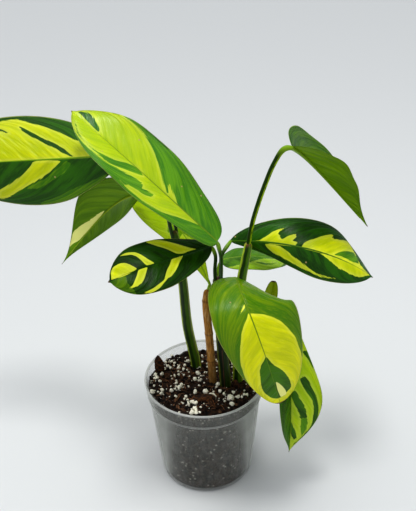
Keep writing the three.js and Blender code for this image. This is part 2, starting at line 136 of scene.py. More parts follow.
# The leaves. A midrib is a cubic curve from the blade's base through two handles to the tip.
# face holds the ways that the upper face looks at the base and at the tip. width holds the half
# widths left and right, seen from the upper face with the tip ahead, and widest is how far along
# the blade is widest. ends shape the base and the tip: small is blunt, large is pointed. fold
# lifts the halves from the midrib, and droop bends each half back down towards its edge, in
# degrees. veins is how far a side vein leans ahead for each millimetre outwards, and how far it
# turns ahead along the edge. ground is the colour that the markings lie on, and tooth is how ragged
# their ends are. beak is the share of the length that the narrow point at the tip takes, and
# gloss is how strongly the blade reflects, where it isn't 0.2 as on most.
LEAVES = {
    "leaf_high_left": dict(
        petiole=[(16.8, -7.6, 196), (16.4, -7.8, 212), (16.8, -10, 226)],
        stalk=1.5,
        midrib=[(14, -16, 245), (-29, -10, 290), (-65, 5, 322), (-93, 30, 336)],
        face=((0.25, -0.4, 0.9), (0.15, -0.45, 0.9)),
        width=(28, 29), widest=0.5, ends=(0.35, 0.75),
        fold=21, droop=8, wave=1, veins=(1.3, 38), ground="mid", tooth=0.6, beak=0.015,
        gloss=0.36,
    ),
    "leaf_dark_left": dict(
        petiole=[(12.2, -7.2, 196), (11.6, -7, 212), (12.4, -5.5, 226)],
        stalk=1.4,
        midrib=[(9, -8, 237), (-23, -30, 238), (-50, -43, 239), (-68, -47, 231)],
        face=((-0.05, -0.55, 0.85), (-0.2, -0.6, 0.8)),
        width=(22, 22.5), widest=0.54, ends=(0.45, 0.6),
        fold=5, droop=20, wave=0.5, veins=(0.8, 20), ground="dark", tooth=0.2, beak=0.03,
        gloss=0.08,
    ),
    "leaf_front": dict(
        petiole=[(30.2, -4, 168), (27.6, -6, 182), (26.4, -5, 198)],
        stalk=1.5,
        midrib=[(28, -13, 210), (29, -60, 228), (44, -77, 198), (60, -64, 123)],
        face=((0.2, -0.15, 0.95), (0.15, -1, 0.15)),
        width=(42, 29), widest=0.47, ends=(0.3, 0.4),
        fold=-5, droop=22, wave=0.8, veins=(0.9, 30), ground="mid", tooth=0.15,
    ),
    "leaf_low_right": dict(
        petiole=[(31.5, 0.5, 142), (37, 1.5, 156), (48, 1, 168), (60, 0, 174)],
        stalk=1.4,
        midrib=[(67, -4, 171), (71, -24, 140), (75, -35, 96), (72, -36, 41)],
        face=((0.25, -0.65, 0.7), (0.45, -0.8, 0.4)),
        width=(26, 23), widest=0.63, ends=(0.4, 1.4),
        fold=36, droop=1, wave=0.6, veins=(1.1, 30), ground="lime",
    ),
    "leaf_folded_right": dict(
        petiole=[
            (37.5, -6.1, 229), (39.1, -7.4, 242), (41, -9, 255), (45, -12, 273), (50, -16, 292),
            (56, -22, 312), (62, -26, 324),
        ],
        stalk=1.8,
        midrib=[(68, -26, 326), (83, 8, 305), (104, 18, 274), (133, 5, 242)],
        face=((0.55, 0.2, 0.85), (0.75, 0.15, 0.65)),
        width=(30, 29), widest=0.46, ends=(0.55, 1.1),
        fold=38, droop=11, wave=0.8, veins=(1.2, 30), ground="mid", gloss=0.05,
    ),
    "leaf_dark_right": dict(
        petiole=[(15.8, -3, 196), (17, -2.2, 209), (17.2, 1, 221)],
        stalk=1.4,
        midrib=[(25, 11, 229), (70, -13, 243), (109, -27, 237), (136, -15, 207)],
        face=((0, -0.95, 0.15), (0.15, -0.45, 0.85)),
        width=(28, 21), widest=0.58, ends=(0.5, 0.65),
        fold=-12, droop=24, wave=0.6, veins=(0.9, 28), ground="dark", tooth=0.5, beak=0.02,
    ),
    "leaf_small_behind": dict(
        petiole=[(15, -2, 172), (14.6, 4, 190), (14.8, 11, 204)],
        stalk=1.2,
        midrib=[(18, 16, 209), (37, 15, 214), (57, 23, 208), (75, 35, 192)],
        face=((-0.1, -0.1, 1), (0.05, -0.1, 1)),
        width=(15.5, 17.5), widest=0.45, ends=(0.35, 0.85),
        fold=0, droop=13, wave=0.4, veins=(0.9, 15), ground="mid",
    ),
    "leaf_lime_behind": dict(
        petiole=[(5, 3, 176), (5.8, 4.2, 185)],
        stalk=1.3,
        midrib=[(7, 5, 192), (-7, 31, 223), (-32, 52, 250), (-65, 64, 273)],
        face=((-0.4, -0.8, 0.45), (-0.3, -0.8, 0.55)),
        width=(20.5, 19), widest=0.65, ends=(0.6, 0.95),
        fold=10, droop=8, wave=0.5, veins=(1, 22), ground="lime",
    ),
    "leaf_hanging_left": dict(
        petiole=[(-17.2, 12.2, 230), (-18.6, 12.2, 244), (-22, 12.5, 257), (-29, 13, 268)],
        stalk=1.3,
        midrib=[(-37, 16, 271), (-62, 33, 268), (-81, 33, 244), (-114, 18, 208)],
        face=((-0.15, 0.7, 0.7), (-0.05, 1, 0.05)),
        width=(27, 25.5), widest=0.44, ends=(0.65, 1.6),
        fold=22, droop=2, wave=0.8, veins=(1, 25), ground="dark",
    ),
    "leaf_wide_left": dict(
        petiole=[(-20, 8.6, 230), (-22.6, 8, 246), (-26, 8, 272), (-33, 9, 294), (-41, 11, 304)],
        stalk=1.5,
        midrib=[(-50, 14, 306), (-98, 34, 295), (-154, 41, 292), (-217, 33, 292)],
        face=((0, -0.65, 0.75), (0, -1, 0.1)),
        width=(38, 38), widest=0.54, ends=(0.8, 0.45),
        fold=-9, droop=21, wave=1, veins=(1.1, 40), ground="lime",
    ),
    "leaf_rolled_right": dict(
        petiole=[(31.5, 1.2, 126), (38, 5, 133), (45.5, 8, 143)],
        stalk=1.2,
        midrib=[(50.5, 10, 153), (56.5, 8, 165), (59.5, 12, 175), (61.5, 21, 183)],
        face=((-0.1, -0.85, 0.55), (-0.1, -0.75, 0.65)),
        width=(7.5, 6.5), widest=0.55, ends=(0.6, 0.4),
        fold=34, droop=0, wave=0, veins=(1, 6), ground="lime",
    ),
}

# Between side veins a marking ends in steps this wide, in millimetres along the midrib
VEIN_BAND = 1.3

# The dry spots that a few blades have here and there
FLECK = (0.5, 0.36, 0.16)

# Where a leaf's own greens differ from the plant's, in display values from 0 to 255
TONES = {
    "leaf_high_left": dict(
        lime=(182, 200, 0), mid=(80, 146, 16), dark=(26, 92, 8), rib=(120, 150, 30),
    ),
    "leaf_dark_left": dict(
        lime=(200, 205, 5), mid=(46, 98, 2), dark=(9, 52, 0), rib=(24, 66, 2),
    ),
    "leaf_front": dict(
        lime=(226, 226, 0), mid=(80, 124, 0), dark=(58, 112, 0), rib=(110, 140, 15),
    ),
    "leaf_low_right": dict(
        lime=(185, 210, 0), mid=(95, 155, 0), dark=(40, 95, 0), rib=(120, 150, 10),
    ),
    "leaf_folded_right": dict(mid=(50, 106, 0), dark=(16, 62, 0), under=(120, 162, 0)),
    "leaf_dark_right": dict(
        lime=(210, 215, 0), mid=(65, 135, 5), dark=(15, 72, 0), rib=(70, 115, 5),
    ),
    "leaf_small_behind": dict(lime=(150, 188, 0), mid=(72, 124, 0), dark=(52, 102, 0)),
    "leaf_lime_behind": dict(lime=(190, 215, 0), mid=(130, 175, 5), dark=(90, 140, 0)),
    "leaf_hanging_left": dict(
        mid=(70, 120, 0), dark=(42, 88, 0), under=(112, 156, 0), rib=(140, 165, 20),
    ),
    "leaf_wide_left": dict(
        lime=(196, 202, 0), dark=(28, 84, 0), mid=(68, 124, 0), rib=(120, 160, 0),
    ),
    "leaf_rolled_right": dict(
        lime=(175, 190, 5), mid=(125, 155, 5), dark=(80, 110, 10), under=(160, 178, 10),
    ),
}

# The markings, painted in order over the ground colour. Each outline runs over the flat blade,
# by the share along the midrib and the share from the midrib (0) to the edge, right (1) or left (-1).
MARKINGS = {
    "leaf_high_left": (
        ("lime", [
            (0.80, 1.05), (0.72, 0.95), (0.65, 0.91), (0.58, 0.85), (0.53, 0.74), (0.44, 0.53),
            (0.39, 0.36), (0.35, 0.20), (0.30, 0.04), (0.30, 0.10), (0.33, 0.30), (0.29, 0.21),
            (0.23, 0), (0.11, -0.02), (0.11, -0.10), (0.18, -0.46), (0.27, -0.82), (0.36, -0.91),
            (0.46, -0.90), (0.55, -0.96), (0.8, -1.05), (1, -1.05), (1, 1.05), (0.9, 1.05),
        ]),
        ("dark", [
            (0.96, 0.51), (0.92, 0.69), (0.86, 0.45), (0.81, 0.26), (0.78, 0.15), (0.77, 0.05),
            (0.82, 0.07), (0.88, 0.14), (0.92, 0.28),
        ]),
        ("mid", [
            (0.94, -1.0), (0.82, -0.93), (0.76, -0.88), (0.68, -0.79), (0.60, -0.71),
            (0.54, -0.57), (0.43, -0.36), (0.41, -0.44), (0.41, -0.55), (0.35, -0.40),
            (0.35, -0.54), (0.38, -0.66), (0.43, -0.71), (0.47, -0.79), (0.46, -1.05),
            (0.7, -1.05), (0.94, -1.05),
        ]),
        ("lime", [(0.52, -0.88), (0.44, -0.83), (0.38, -0.75), (0.37, -0.79), (0.43, -0.87)]),
        ("mid", [
            (0.44, -0.10), (0.46, -0.01), (0.50, 0), (0.55, -0.17), (0.59, -0.39), (0.63, -0.51),
            (0.68, -0.64), (0.77, -0.80), (0.83, -0.82), (0.90, -0.68), (0.82, -0.90),
            (0.76, -0.80), (0.67, -0.70), (0.60, -0.66), (0.55, -0.50), (0.50, -0.34),
        ]),
        ("dark", [(0.40, 1.05), (0.45, 0.93), (0.60, 0.96), (0.78, 1.0), (0.78, 1.05)]),
    ),
    "leaf_dark_left": (
        ("mid", [
            (0.76, -0.80), (0.80, -0.45), (0.78, -0.06), (0.93, -0.03), (1, -0.3), (1, -1.05),
            (0.76, -1.05),
        ]),
        ("lime", [
            (0.11, 0.07), (0.14, 0.21), (0.22, 0.60), (0.28, 0.83), (0.34, 0.94), (0.42, 0.99),
            (0.46, 0.96), (0.41, 0.73), (0.33, 0.46), (0.27, 0.12), (0.22, 0.05), (0.18, 0.09),
        ]),
        ("lime", [
            (0.48, 0.03), (0.52, 0.24), (0.57, 0.58), (0.60, 0.69), (0.66, 0.80), (0.76, 0.90),
            (0.70, 0.74), (0.64, 0.65), (0.60, 0.48), (0.56, 0.05), (0.52, 0.03),
        ]),
        ("lime", [
            (0.65, 0.04), (0.67, 0.16), (0.70, 0.33), (0.75, 0.50), (0.82, 0.66), (0.88, 0.79),
            (0.92, 0.80), (0.93, 0.46), (0.95, 0.07), (0.85, -0.05), (0.77, -0.05), (0.70, 0),
        ]),
        ("lime", [
            (0.23, -0.02), (0.28, 0), (0.33, -0.02), (0.37, -0.22), (0.42, -0.40), (0.47, -0.68),
            (0.52, -0.74), (0.58, -0.83), (0.72, -0.95), (0.60, -0.97), (0.53, -0.89),
            (0.44, -0.68), (0.40, -0.66), (0.35, -0.54), (0.30, -0.35), (0.26, -0.17),
        ]),
        ("lime", [
            (0.55, -0.01), (0.64, 0), (0.68, -0.20), (0.73, -0.44), (0.76, -0.58), (0.82, -0.74),
            (0.73, -0.66), (0.67, -0.56), (0.63, -0.42), (0.59, -0.22),
        ]),
    ),
    "leaf_front": (
        ("lime", [
            (0.43, 0.04), (0.45, -0.09), (0.48, -0.25), (0.53, -0.40), (0.59, -0.54),
            (0.68, -0.69), (0.73, -0.79), (0.79, -0.86), (0.83, -0.94), (0.88, -1.0), (1, -1.05),
            (1, 1.05), (0.94, 1.0), (0.89, 0.98), (0.83, 0.93), (0.78, 0.84), (0.72, 0.76),
            (0.67, 0.65), (0.60, 0.50), (0.55, 0.40), (0.50, 0.26), (0.46, 0.10),
        ]),
        ("dark", [
            (0.73, -0.01), (0.79, -0.10), (0.83, -0.25), (0.87, -0.39), (0.92, -0.54),
            (0.95, -0.65), (0.97, -0.2), (0.97, 0.15), (0.96, 0.46), (0.93, 0.60), (0.89, 0.56),
            (0.85, 0.44), (0.80, 0.34), (0.77, 0.23), (0.75, 0.09),
        ]),
        ("cream", [
            (0.88, -0.05), (0.91, -0.19), (0.94, -0.32), (0.97, -0.44), (0.97, -0.10),
            (0.93, -0.04),
        ]),
        ("lime", [(0.35, 0.04), (0.38, 0.05), (0.40, 0.15), (0.42, 0.26), (0.38, 0.14)]),
    ),
    "leaf_low_right": (
        ("dark", [(0, 0), (1, 0), (1, 1.05), (0.5, 1.05), (0, 1.05)]),
        ("dark", [
            (0.58, 0), (0.57, -0.15), (0.62, -0.29), (0.67, -0.44), (0.72, -0.54),
            (0.75, -0.60), (0.76, -0.36), (0.71, -0.25), (0.66, -0.11), (0.61, 0),
        ]),
        ("dark", [
            (0.48, -0.39), (0.47, -0.55), (0.49, -0.64), (0.55, -0.72), (0.59, -0.81),
            (0.64, -0.86), (0.69, -0.93), (0.74, -0.97), (0.81, -1), (0.93, -0.95), (0.96, -0.60),
            (0.90, -0.85), (0.82, -0.93), (0.75, -0.82), (0.68, -0.75), (0.62, -0.66),
            (0.57, -0.51), (0.51, -0.35),
        ]),
        ("dark", [(0.30, -0.70), (0.37, -0.93), (0.43, -0.97), (0.6, -1.0), (0.3, -1.05)]),
        ("mid", [(0.76, -0.36), (0.75, -0.60), (0.83, -0.80), (0.89, -0.88), (0.84, -0.5)]),
        ("dark", [(0.78, 0.01), (0.83, -0.16), (0.89, -0.57), (0.91, -0.42), (0.88, -0.04)]),
    ),
    "leaf_dark_right": (
        ("lime", [
            (0.14, -0.06), (0.17, -0.07), (0.20, -0.24), (0.24, -0.45), (0.32, -0.64),
            (0.27, -0.43), (0.29, -0.21), (0.30, -0.17), (0.34, -0.34), (0.37, -0.40),
            (0.38, -0.31), (0.36, -0.16), (0.40, -0.15), (0.38, 0.03), (0.28, 0.07), (0.23, 0.07),
        ]),
        ("lime", [
            (0.42, 0.04), (0.44, -0.16), (0.48, -0.30), (0.54, -0.50), (0.61, -0.69),
            (0.61, -0.54), (0.67, -0.65), (0.77, -0.97), (0.80, -0.85), (0.86, -0.26),
            (0.92, -0.11), (0.97, 0), (0.7, 0.02),
        ]),
        ("mid", [
            (0.64, -0.04), (0.68, -0.21), (0.75, -0.44), (0.81, -0.62), (0.84, -0.52),
            (0.86, -0.21), (0.79, -0.10), (0.70, -0.10),
        ]),
        ("lime", [
            (0.55, 0.06), (0.63, -0.02), (0.70, -0.06), (0.81, -0.10), (0.88, -0.11),
            (0.97, 0.07), (0.90, 0.51), (0.85, 0.53), (0.78, 0.44), (0.69, 0.33), (0.63, 0.20),
            (0.57, 0.07),
        ]),
        ("lime", [
            (0.20, 0.11), (0.24, 0.09), (0.29, 0.11), (0.32, 0.23), (0.36, 0.39), (0.42, 0.54),
            (0.50, 0.71), (0.58, 0.80), (0.66, 0.81), (0.73, 0.81), (0.62, 0.88), (0.54, 0.84),
            (0.46, 0.81), (0.38, 0.78), (0.30, 0.68), (0.25, 0.59), (0.22, 0.41),
        ]),
    ),
    "leaf_small_behind": (
        ("lime", [
            (0.02, 1.05), (0.21, 0.64), (0.39, 0.45), (0.52, 0.26), (0.68, 0.15), (0.81, 0.12),
            (0.93, 0.51), (0.77, 1.0), (0.60, 1.05), (0.3, 1.05),
        ]),
        ("mid", [
            (0.43, 0.45), (0.52, 0.51), (0.62, 0.59), (0.76, 0.53), (0.65, 0.69), (0.53, 0.66),
            (0.45, 0.55),
        ]),
    ),
    "leaf_lime_behind": (
        ("mid", [
            (0.24, 1.05), (0.31, 0.4), (0.38, 0), (0.36, -0.45), (0.46, -0.6), (0.50, 0),
            (0.46, 0.5), (0.44, 1.05),
        ]),
        ("mid", [(0.66, 0.03), (0.73, 0.35), (0.82, 0.75), (0.88, 0.8), (0.82, 0.4), (0.75, 0.02)]),
    ),
    "leaf_hanging_left": (
        ("cream", [
            (0.52, -0.06), (0.58, -0.12), (0.68, -0.26), (0.76, -0.57), (0.81, -0.90),
            (0.85, -0.91), (0.90, -0.95), (0.83, -0.10), (0.75, -0.02), (0.66, -0.01),
            (0.58, -0.02),
        ]),
        ("mid", [(0.2, 0.05), (0.3, 0.5), (0.45, 0.95), (0.60, 0.95), (0.45, 0.5), (0.34, 0.05)]),
    ),
    "leaf_wide_left": (
        ("dark", [(0, 0), (1, 0), (1, -1.05), (0.5, -1.05), (0, -1.05)]),
        ("dark", [
            (0.60, 1.05), (0.58, 0.91), (0.52, 0.81), (0.46, 0.75), (0.39, 0.66), (0.32, 0.53),
            (0.22, 0.40), (0.1, 0.5), (0.1, 1.05), (0.3, 1.05),
        ]),
        ("dark", [
            (0.57, 0.74), (0.54, 0.66), (0.49, 0.54), (0.44, 0.44), (0.36, 0.28), (0.30, 0.04),
            (0.31, 0.03), (0.36, 0.15), (0.42, 0.30), (0.48, 0.44), (0.54, 0.58), (0.56, 0.68),
        ]),
        ("lime", [
            (0.36, -0.05), (0.42, -0.02), (0.50, -0.02), (0.53, -0.17), (0.58, -0.35),
            (0.63, -0.51), (0.69, -0.69), (0.70, -0.93), (0.67, -0.90), (0.61, -0.70),
            (0.55, -0.54), (0.43, -0.31), (0.39, -0.17),
        ]),
        ("mid", [(0.50, -0.93), (0.30, -0.74), (0.13, -0.82), (0.13, -1.05), (0.50, -1.05)]),
        ("mid", [
            (0.34, -0.05), (0.37, -0.17), (0.43, -0.35), (0.56, -0.60), (0.50, -0.62),
            (0.36, -0.36), (0.31, -0.14),
        ]),
        ("dark", [(0.54, 1.05), (0.54, 0.93), (0.68, 0.90), (0.82, 0.94), (0.98, 1.0), (0.9, 1.05)]),
        ("dark", [
            (0.61, 0.60), (0.66, 0.68), (0.74, 0.84), (0.80, 0.92), (0.78, 0.94), (0.72, 0.86),
            (0.65, 0.72),
        ]),
        ("lime", [
            (0.74, -0.02), (0.84, -0.02), (0.90, -0.4), (0.92, -0.8), (0.86, -0.75), (0.8, -0.4),
        ]),
    ),
}

# The lights' places and what they point at, in metres, with the window's breadth in degrees
WINDOW_AT = (-1.1, 0.6, 2.0)
WINDOW_BREADTH = 70
PANEL_AT = (0.0, -0.15, 1.25)
PANEL_SIZE = 0.24
LIGHT_AIM = (0, 0, 0.18)

# The photograph's camera
CAMERA_AT = (0.0066, -0.5428, 0.5543)
CAMERA_TURN = (58.6, 0, 0)
CAMERA_ROLL = -1.8
CAMERA_LENS = 56.36

# The studio: its light from all round in display values, its floor's half side and the nearest
# that the camera sees in metres, and how the picture is shown
AMBIENT_COLOUR = (236, 240, 245)
FLOOR_REACH = 4.5
CAMERA_NEAR = 0.01
PICTURE_GAMMA = 0.86
PICTURE_EXPOSURE = 0.06

# How finely the shells are divided: their sides round, and their rings or rows along
POT_SIDES = 176
HOLE_SIDES = 32
MIX_SIDES = 240
MIX_WALL_RINGS = 46
MIX_TOP_RINGS = 84
STEM_SIDES, STEM_RINGS = 72, 150
CANE_SIDES, CANE_TUBE_RINGS = 56, 170
STALK_SIDES = 16
STALK_RINGS_A_POINT = 26
MIDRIB_RINGS = 70
CURVE_STEPS = 200

# A blade's rows for each millimetre of its length and columns for each of its half width, with
# the fewest and the most of them, how they crowd towards the midrib, and where the rows end
BLADE_ROWS = dict(rate=1.05, fewest=60, most=165)
BLADE_COLUMNS = dict(rate=1.35, fewest=16, most=46)
COLUMN_CROWDING = 1.3
BLADE_SPAN = (0.02, 0.985)

# A blade's forms: its beak's width and lap onto the body, in shares, its margin's ripple in
# radians over the whole length and half width, and its groove over the midrib in millimetres
BEAK_WIDTH = 0.11
BEAK_LAP = 0.02
RIPPLE_ALONG = 17
RIPPLE_ACROSS = 2
GROOVE_DEPTH = 0.32
GROOVE_WIDTH = 1.1

# Where a marking's point counts as past the edge or the tip, in shares, and how far it moves out
EDGE_START, EDGE_RUN = 0.96, 0.06
TIP_START, TIP_RUN = 0.97, 0.03
OUTLINE_OVERLAP = 3

# The raised midrib: the share of the blade where it ends, its radius at the base as a share of
# the stalk's and at its end in millimetres, and how deep its middle lies, in its own radii
MIDRIB_END = 0.93
MIDRIB_START_SHARE = 0.85
MIDRIB_END_RADIUS = 0.3
MIDRIB_SINK = 0.8

# The stalk's swelling before the blade, as a share of its radius, with its place and reach, the
# length over which it then sinks to the midrib's level, and how much it narrows there
SWELLING = 0.16
SWELLING_AT = 6
SWELLING_REACH = 5
STALK_EASE = 5
STALK_NARROWING = 0.15

# A stem's sheath: how much its radius grows round it, the rim at the overlap's edge, the fine
# ribs, how far ribs and edge turn for each millimetre of height, and the rounded top's height.
# The cane also has its overlap's turn in degrees, and how far its rings stand out and reach
SHEATH_GROWTH = 0.085
RIM_RISE, RIM_REACH = 0.03, 0.03
STEM_RIBS = 15
STEM_RIB_RISE = 0.008
RIB_TWIST = 0.02
OVERLAP_TWIST = 0.004
TOP_ROUNDING = 3.5
CANE_OVERLAP = 200
CANE_RING_RISE = 0.1
CANE_RING_REACH = 1.6

# Drawn sizes in millimetres: the least, what may come on top, and how rare the large ones are
PERLITE_RADII = dict(least=0.55, spread=2.1, rarity=2.4)
CRUMB_RADII = dict(least=0.5, spread=2.0, rarity=2)
FLAKE_LENGTHS = dict(least=2, spread=6, rarity=1.7)

# What else is drawn for flakes and fibres, from and to: widths as shares of the length,
# thicknesses, lengths and radii in millimetres, tilts and a fibre's bend in radians
FLAKE_WIDTH_SHARES = (0.18, 0.45)
FLAKE_THICKNESSES = (0.6, 1.4)
FLAKE_TILTS = (-0.4, 0.4)
FIBRE_LENGTHS = (5, 14)
FIBRE_BENDS = (-1.4, 1.4)
FIBRE_RADII = (0.12, 0.26)

# How far from the pot's wall the loose pieces stay, in millimetres, the share of the perlite that
# lies outside its heaps, and how tight those are
PERLITE_MARGIN, LOOSE_PERLITE_MARGIN = 2.4, 3
CRUMB_MARGIN = 1.6
FLAKE_MARGIN = 6
FIBRE_MARGIN = 9
LOOSE_PERLITE = 0.34
HEAP_TIGHTNESS = 0.6

# The waves that roughen a surface: their number, and their lengths in millimetres from and to
MIX_SIDE_WAVES = (60, 2.5, 9)
MIX_TOP_WAVES = (90, 2.2, 11)
PLATE_WAVES = (30, 2, 8)
FLAKE_WAVES = (20, 2, 7)

# The mix's relief: how far its lumps rise and its top drops at the wall, in millimetres, and how
# far its side is pressed in, as a share of the radius
MIX_LUMP_RISE = 0.9
MIX_EDGE_DROP = 1.2
MIX_SIDE_PRESS = 0.004

# How the mix looks against the wall: the radii, and the depths under its level, between which its
# top turns into its pressed side, and the heights between which dust shows under the lip
SIDE_RADII = (46.8, 47.8)
SIDE_DEPTHS = (5, 7)
DUST_HEIGHTS = (91, 94)

# How a blade is painted: how deep a marking's field runs, the tones that have one with how far
# streaks push their edges out, the blur of those edges and the spacing of the fine veins, all in
# millimetres, the gloss and raggedness of most blades, the brightest that a green gets, and how
# far apart in the noise the two halves of a blade lie
MARKING_REACH = 8.0
TONE_FEATHERS = dict(lime=1.0, dark=-0.8, cream=0.6)
MARKING_BLUR = 0.2
FINE_VEIN_SPACING = 1.15
COMMON_GLOSS = 0.2
COMMON_TOOTH = 0.5
BRIGHTEST_GREEN = 0.9
HALVES_APART = 40.0

# Colours that shift others, in Blender's linear values
BLACK = (0, 0, 0)
DRY_TIP = (0.12, 0.04, 0.02)
PALE_MARGIN = (0.8, 0.85, 0.6)
UNDER_GREEN = (0.42, 0.5, 0.06)
STRAW = (0.6, 0.45, 0.25)
DARK_OLIVE = (0.05, 0.06, 0.01)
CLOUD_WHITE = (0.9, 0.9, 0.88)
LINE_WHITE = (1, 1, 0.97)
GREY_BARK = (0.35, 0.28, 0.2)
PALE_FIBRE = (0.5, 0.35, 0.2)


def display(red, green, blue):
    """A colour given in display values from 0 to 255, as Blender's linear red, green, blue."""
    share = np.array([red, green, blue], float) / 255
    linear = np.where(share <= 0.04045, share / 12.92, ((share + 0.055) / 1.055) ** 2.4)
    return tuple(float(value) for value in linear)


def colour_property(name, description, default):
    """A colour, with its default in display values."""
    return FloatVectorProperty(
        name=name, description=description, default=display(*default), subtype="COLOR",
        size=3, min=0, max=1,
    )


def share_property(name, description, default):
    """A number from 0 to 1."""
    return FloatProperty(
        name=name, description=description, default=default, min=0, max=1, subtype="FACTOR",
    )


def length_property(name, description, default, least, most):
    """A length in metres."""
    return FloatProperty(
        name=name, description=description, default=default, min=least, max=most,
        unit="LENGTH", precision=5,
    )


def count_property(name, description, default, most):
    """A number of repeats."""
    return IntProperty(name=name, description=description, default=default, min=0, max=most)


class PotLook(PropertyGroup):
    """The clear pot's finish."""

    plastic: colour_property("Plastic", "Colour of the clouded plastic", (172, 174, 168))
    clouding: share_property("Clouding", "How far the wall hides the mix, seen straight on", 0.04)
    roughness: share_property("Roughness", "How dull the plastic's gloss is", 0.34)


class MixLook(PropertyGroup):
    """The potting mix and what lies in its top."""

    peat: colour_property("Peat", "Colour of the dark mix", (15, 10, 8))
    bark: colour_property("Bark", "Colour of the bark chips", (140, 84, 40))
    perlite: colour_property("Perlite", "Colour of the perlite grains", (254, 250, 232))
    # The next colour is the painted haze: the light that the clouded wall scatters, laid on the mix's
    # side
    painted_haze: colour_property("Film", "Colour of the moist film against the pot's wall", (98, 98, 94))
    perlite_count: count_property("Perlite grains", "How many grains show", 310, 800)
    crumb_count: count_property("Crumbs", "How many dark crumbs show", 900, 2000)
    bark_count: count_property("Bark chips", "How many small chips of bark show", 260, 400)
    fibre_count: count_property("Fibres", "How many loose fibres show", 90, 200)
    seed: IntProperty(name="Seed", description="Draws the places again", default=7, min=0)


class StemLook(PropertyGroup):
    """The green sheaths and the dry cane."""

    green: colour_property("Green", "Colour of a sheath's face", (72, 108, 8))
    # shade paints shade on each sheath's left half, and edge paints highlights along both its sides
    shade: colour_property("Shade", "Colour of a sheath's dark band", (26, 52, 4))
    edge: colour_property("Edge", "Colour of a sheath's pale edges", (160, 180, 30))
    seam: colour_property("Seam", "Colour of the dry line along an overlap", (110, 66, 46))
    cane: colour_property("Cane", "Colour of the dry cane", (190, 136, 62))
    ring: colour_property("Ring", "Colour of the cane's rings", (84, 50, 24))


class LeafLook(PropertyGroup):
    """The blades' greens, relief and gloss."""

    lime: colour_property("Lime", "Colour of the pale markings", (190, 215, 5))
    mid: colour_property("Mid", "Colour of the common green", (65, 145, 10))
    dark: colour_property("Dark", "Colour of the dark markings", (20, 90, 12))
    cream: colour_property("Cream", "Colour of the palest markings", (255, 236, 140))
    rib: colour_property("Midrib", "Colour of the midrib's line", (150, 180, 45))
    # The stalks' colour is darkened partly as painted shade, for the shade they sit in among the
    # leaves
    stalk: colour_property("Stalk", "Colour of the stalks", (36, 62, 8))
    depth: FloatProperty(
        name="Depth", description="Brightens every green by this factor, under the soft light",
        default=1.12, min=0.5, max=2,
    )
    thickness: length_property(
        "Thickness", "Thickness of a blade between its veins", 0.0005, 0.0002, 0.001,
    )
    vein_spacing: length_property(
        "Vein spacing", "Distance between the side veins along the midrib", 0.0055, 0.002, 0.02,
    )
    vein_relief: length_property(
        "Vein relief", "How far the blade swells between its side veins", 0.00012, 0, 0.001,
    )
    roughness: share_property("Roughness", "How dull the upper face's gloss is", 0.29)


class StageLook(PropertyGroup):
    """The pale floor and the soft studio light."""

    floor: colour_property("Floor", "Colour of the floor", (219, 220, 219))
    window: FloatProperty(
        name="Window light", description="Strength of the broad soft light from the upper left",
        default=0.95, min=0,
    )
    panel: FloatProperty(
        name="Panel light", description="Power of the near panel that draws the gloss",
        default=5.2, min=0, unit="POWER",
    )
    ambient: FloatProperty(
        name="Ambient light", description="Strength of the light from all round",
        default=0.72, min=0,
    )


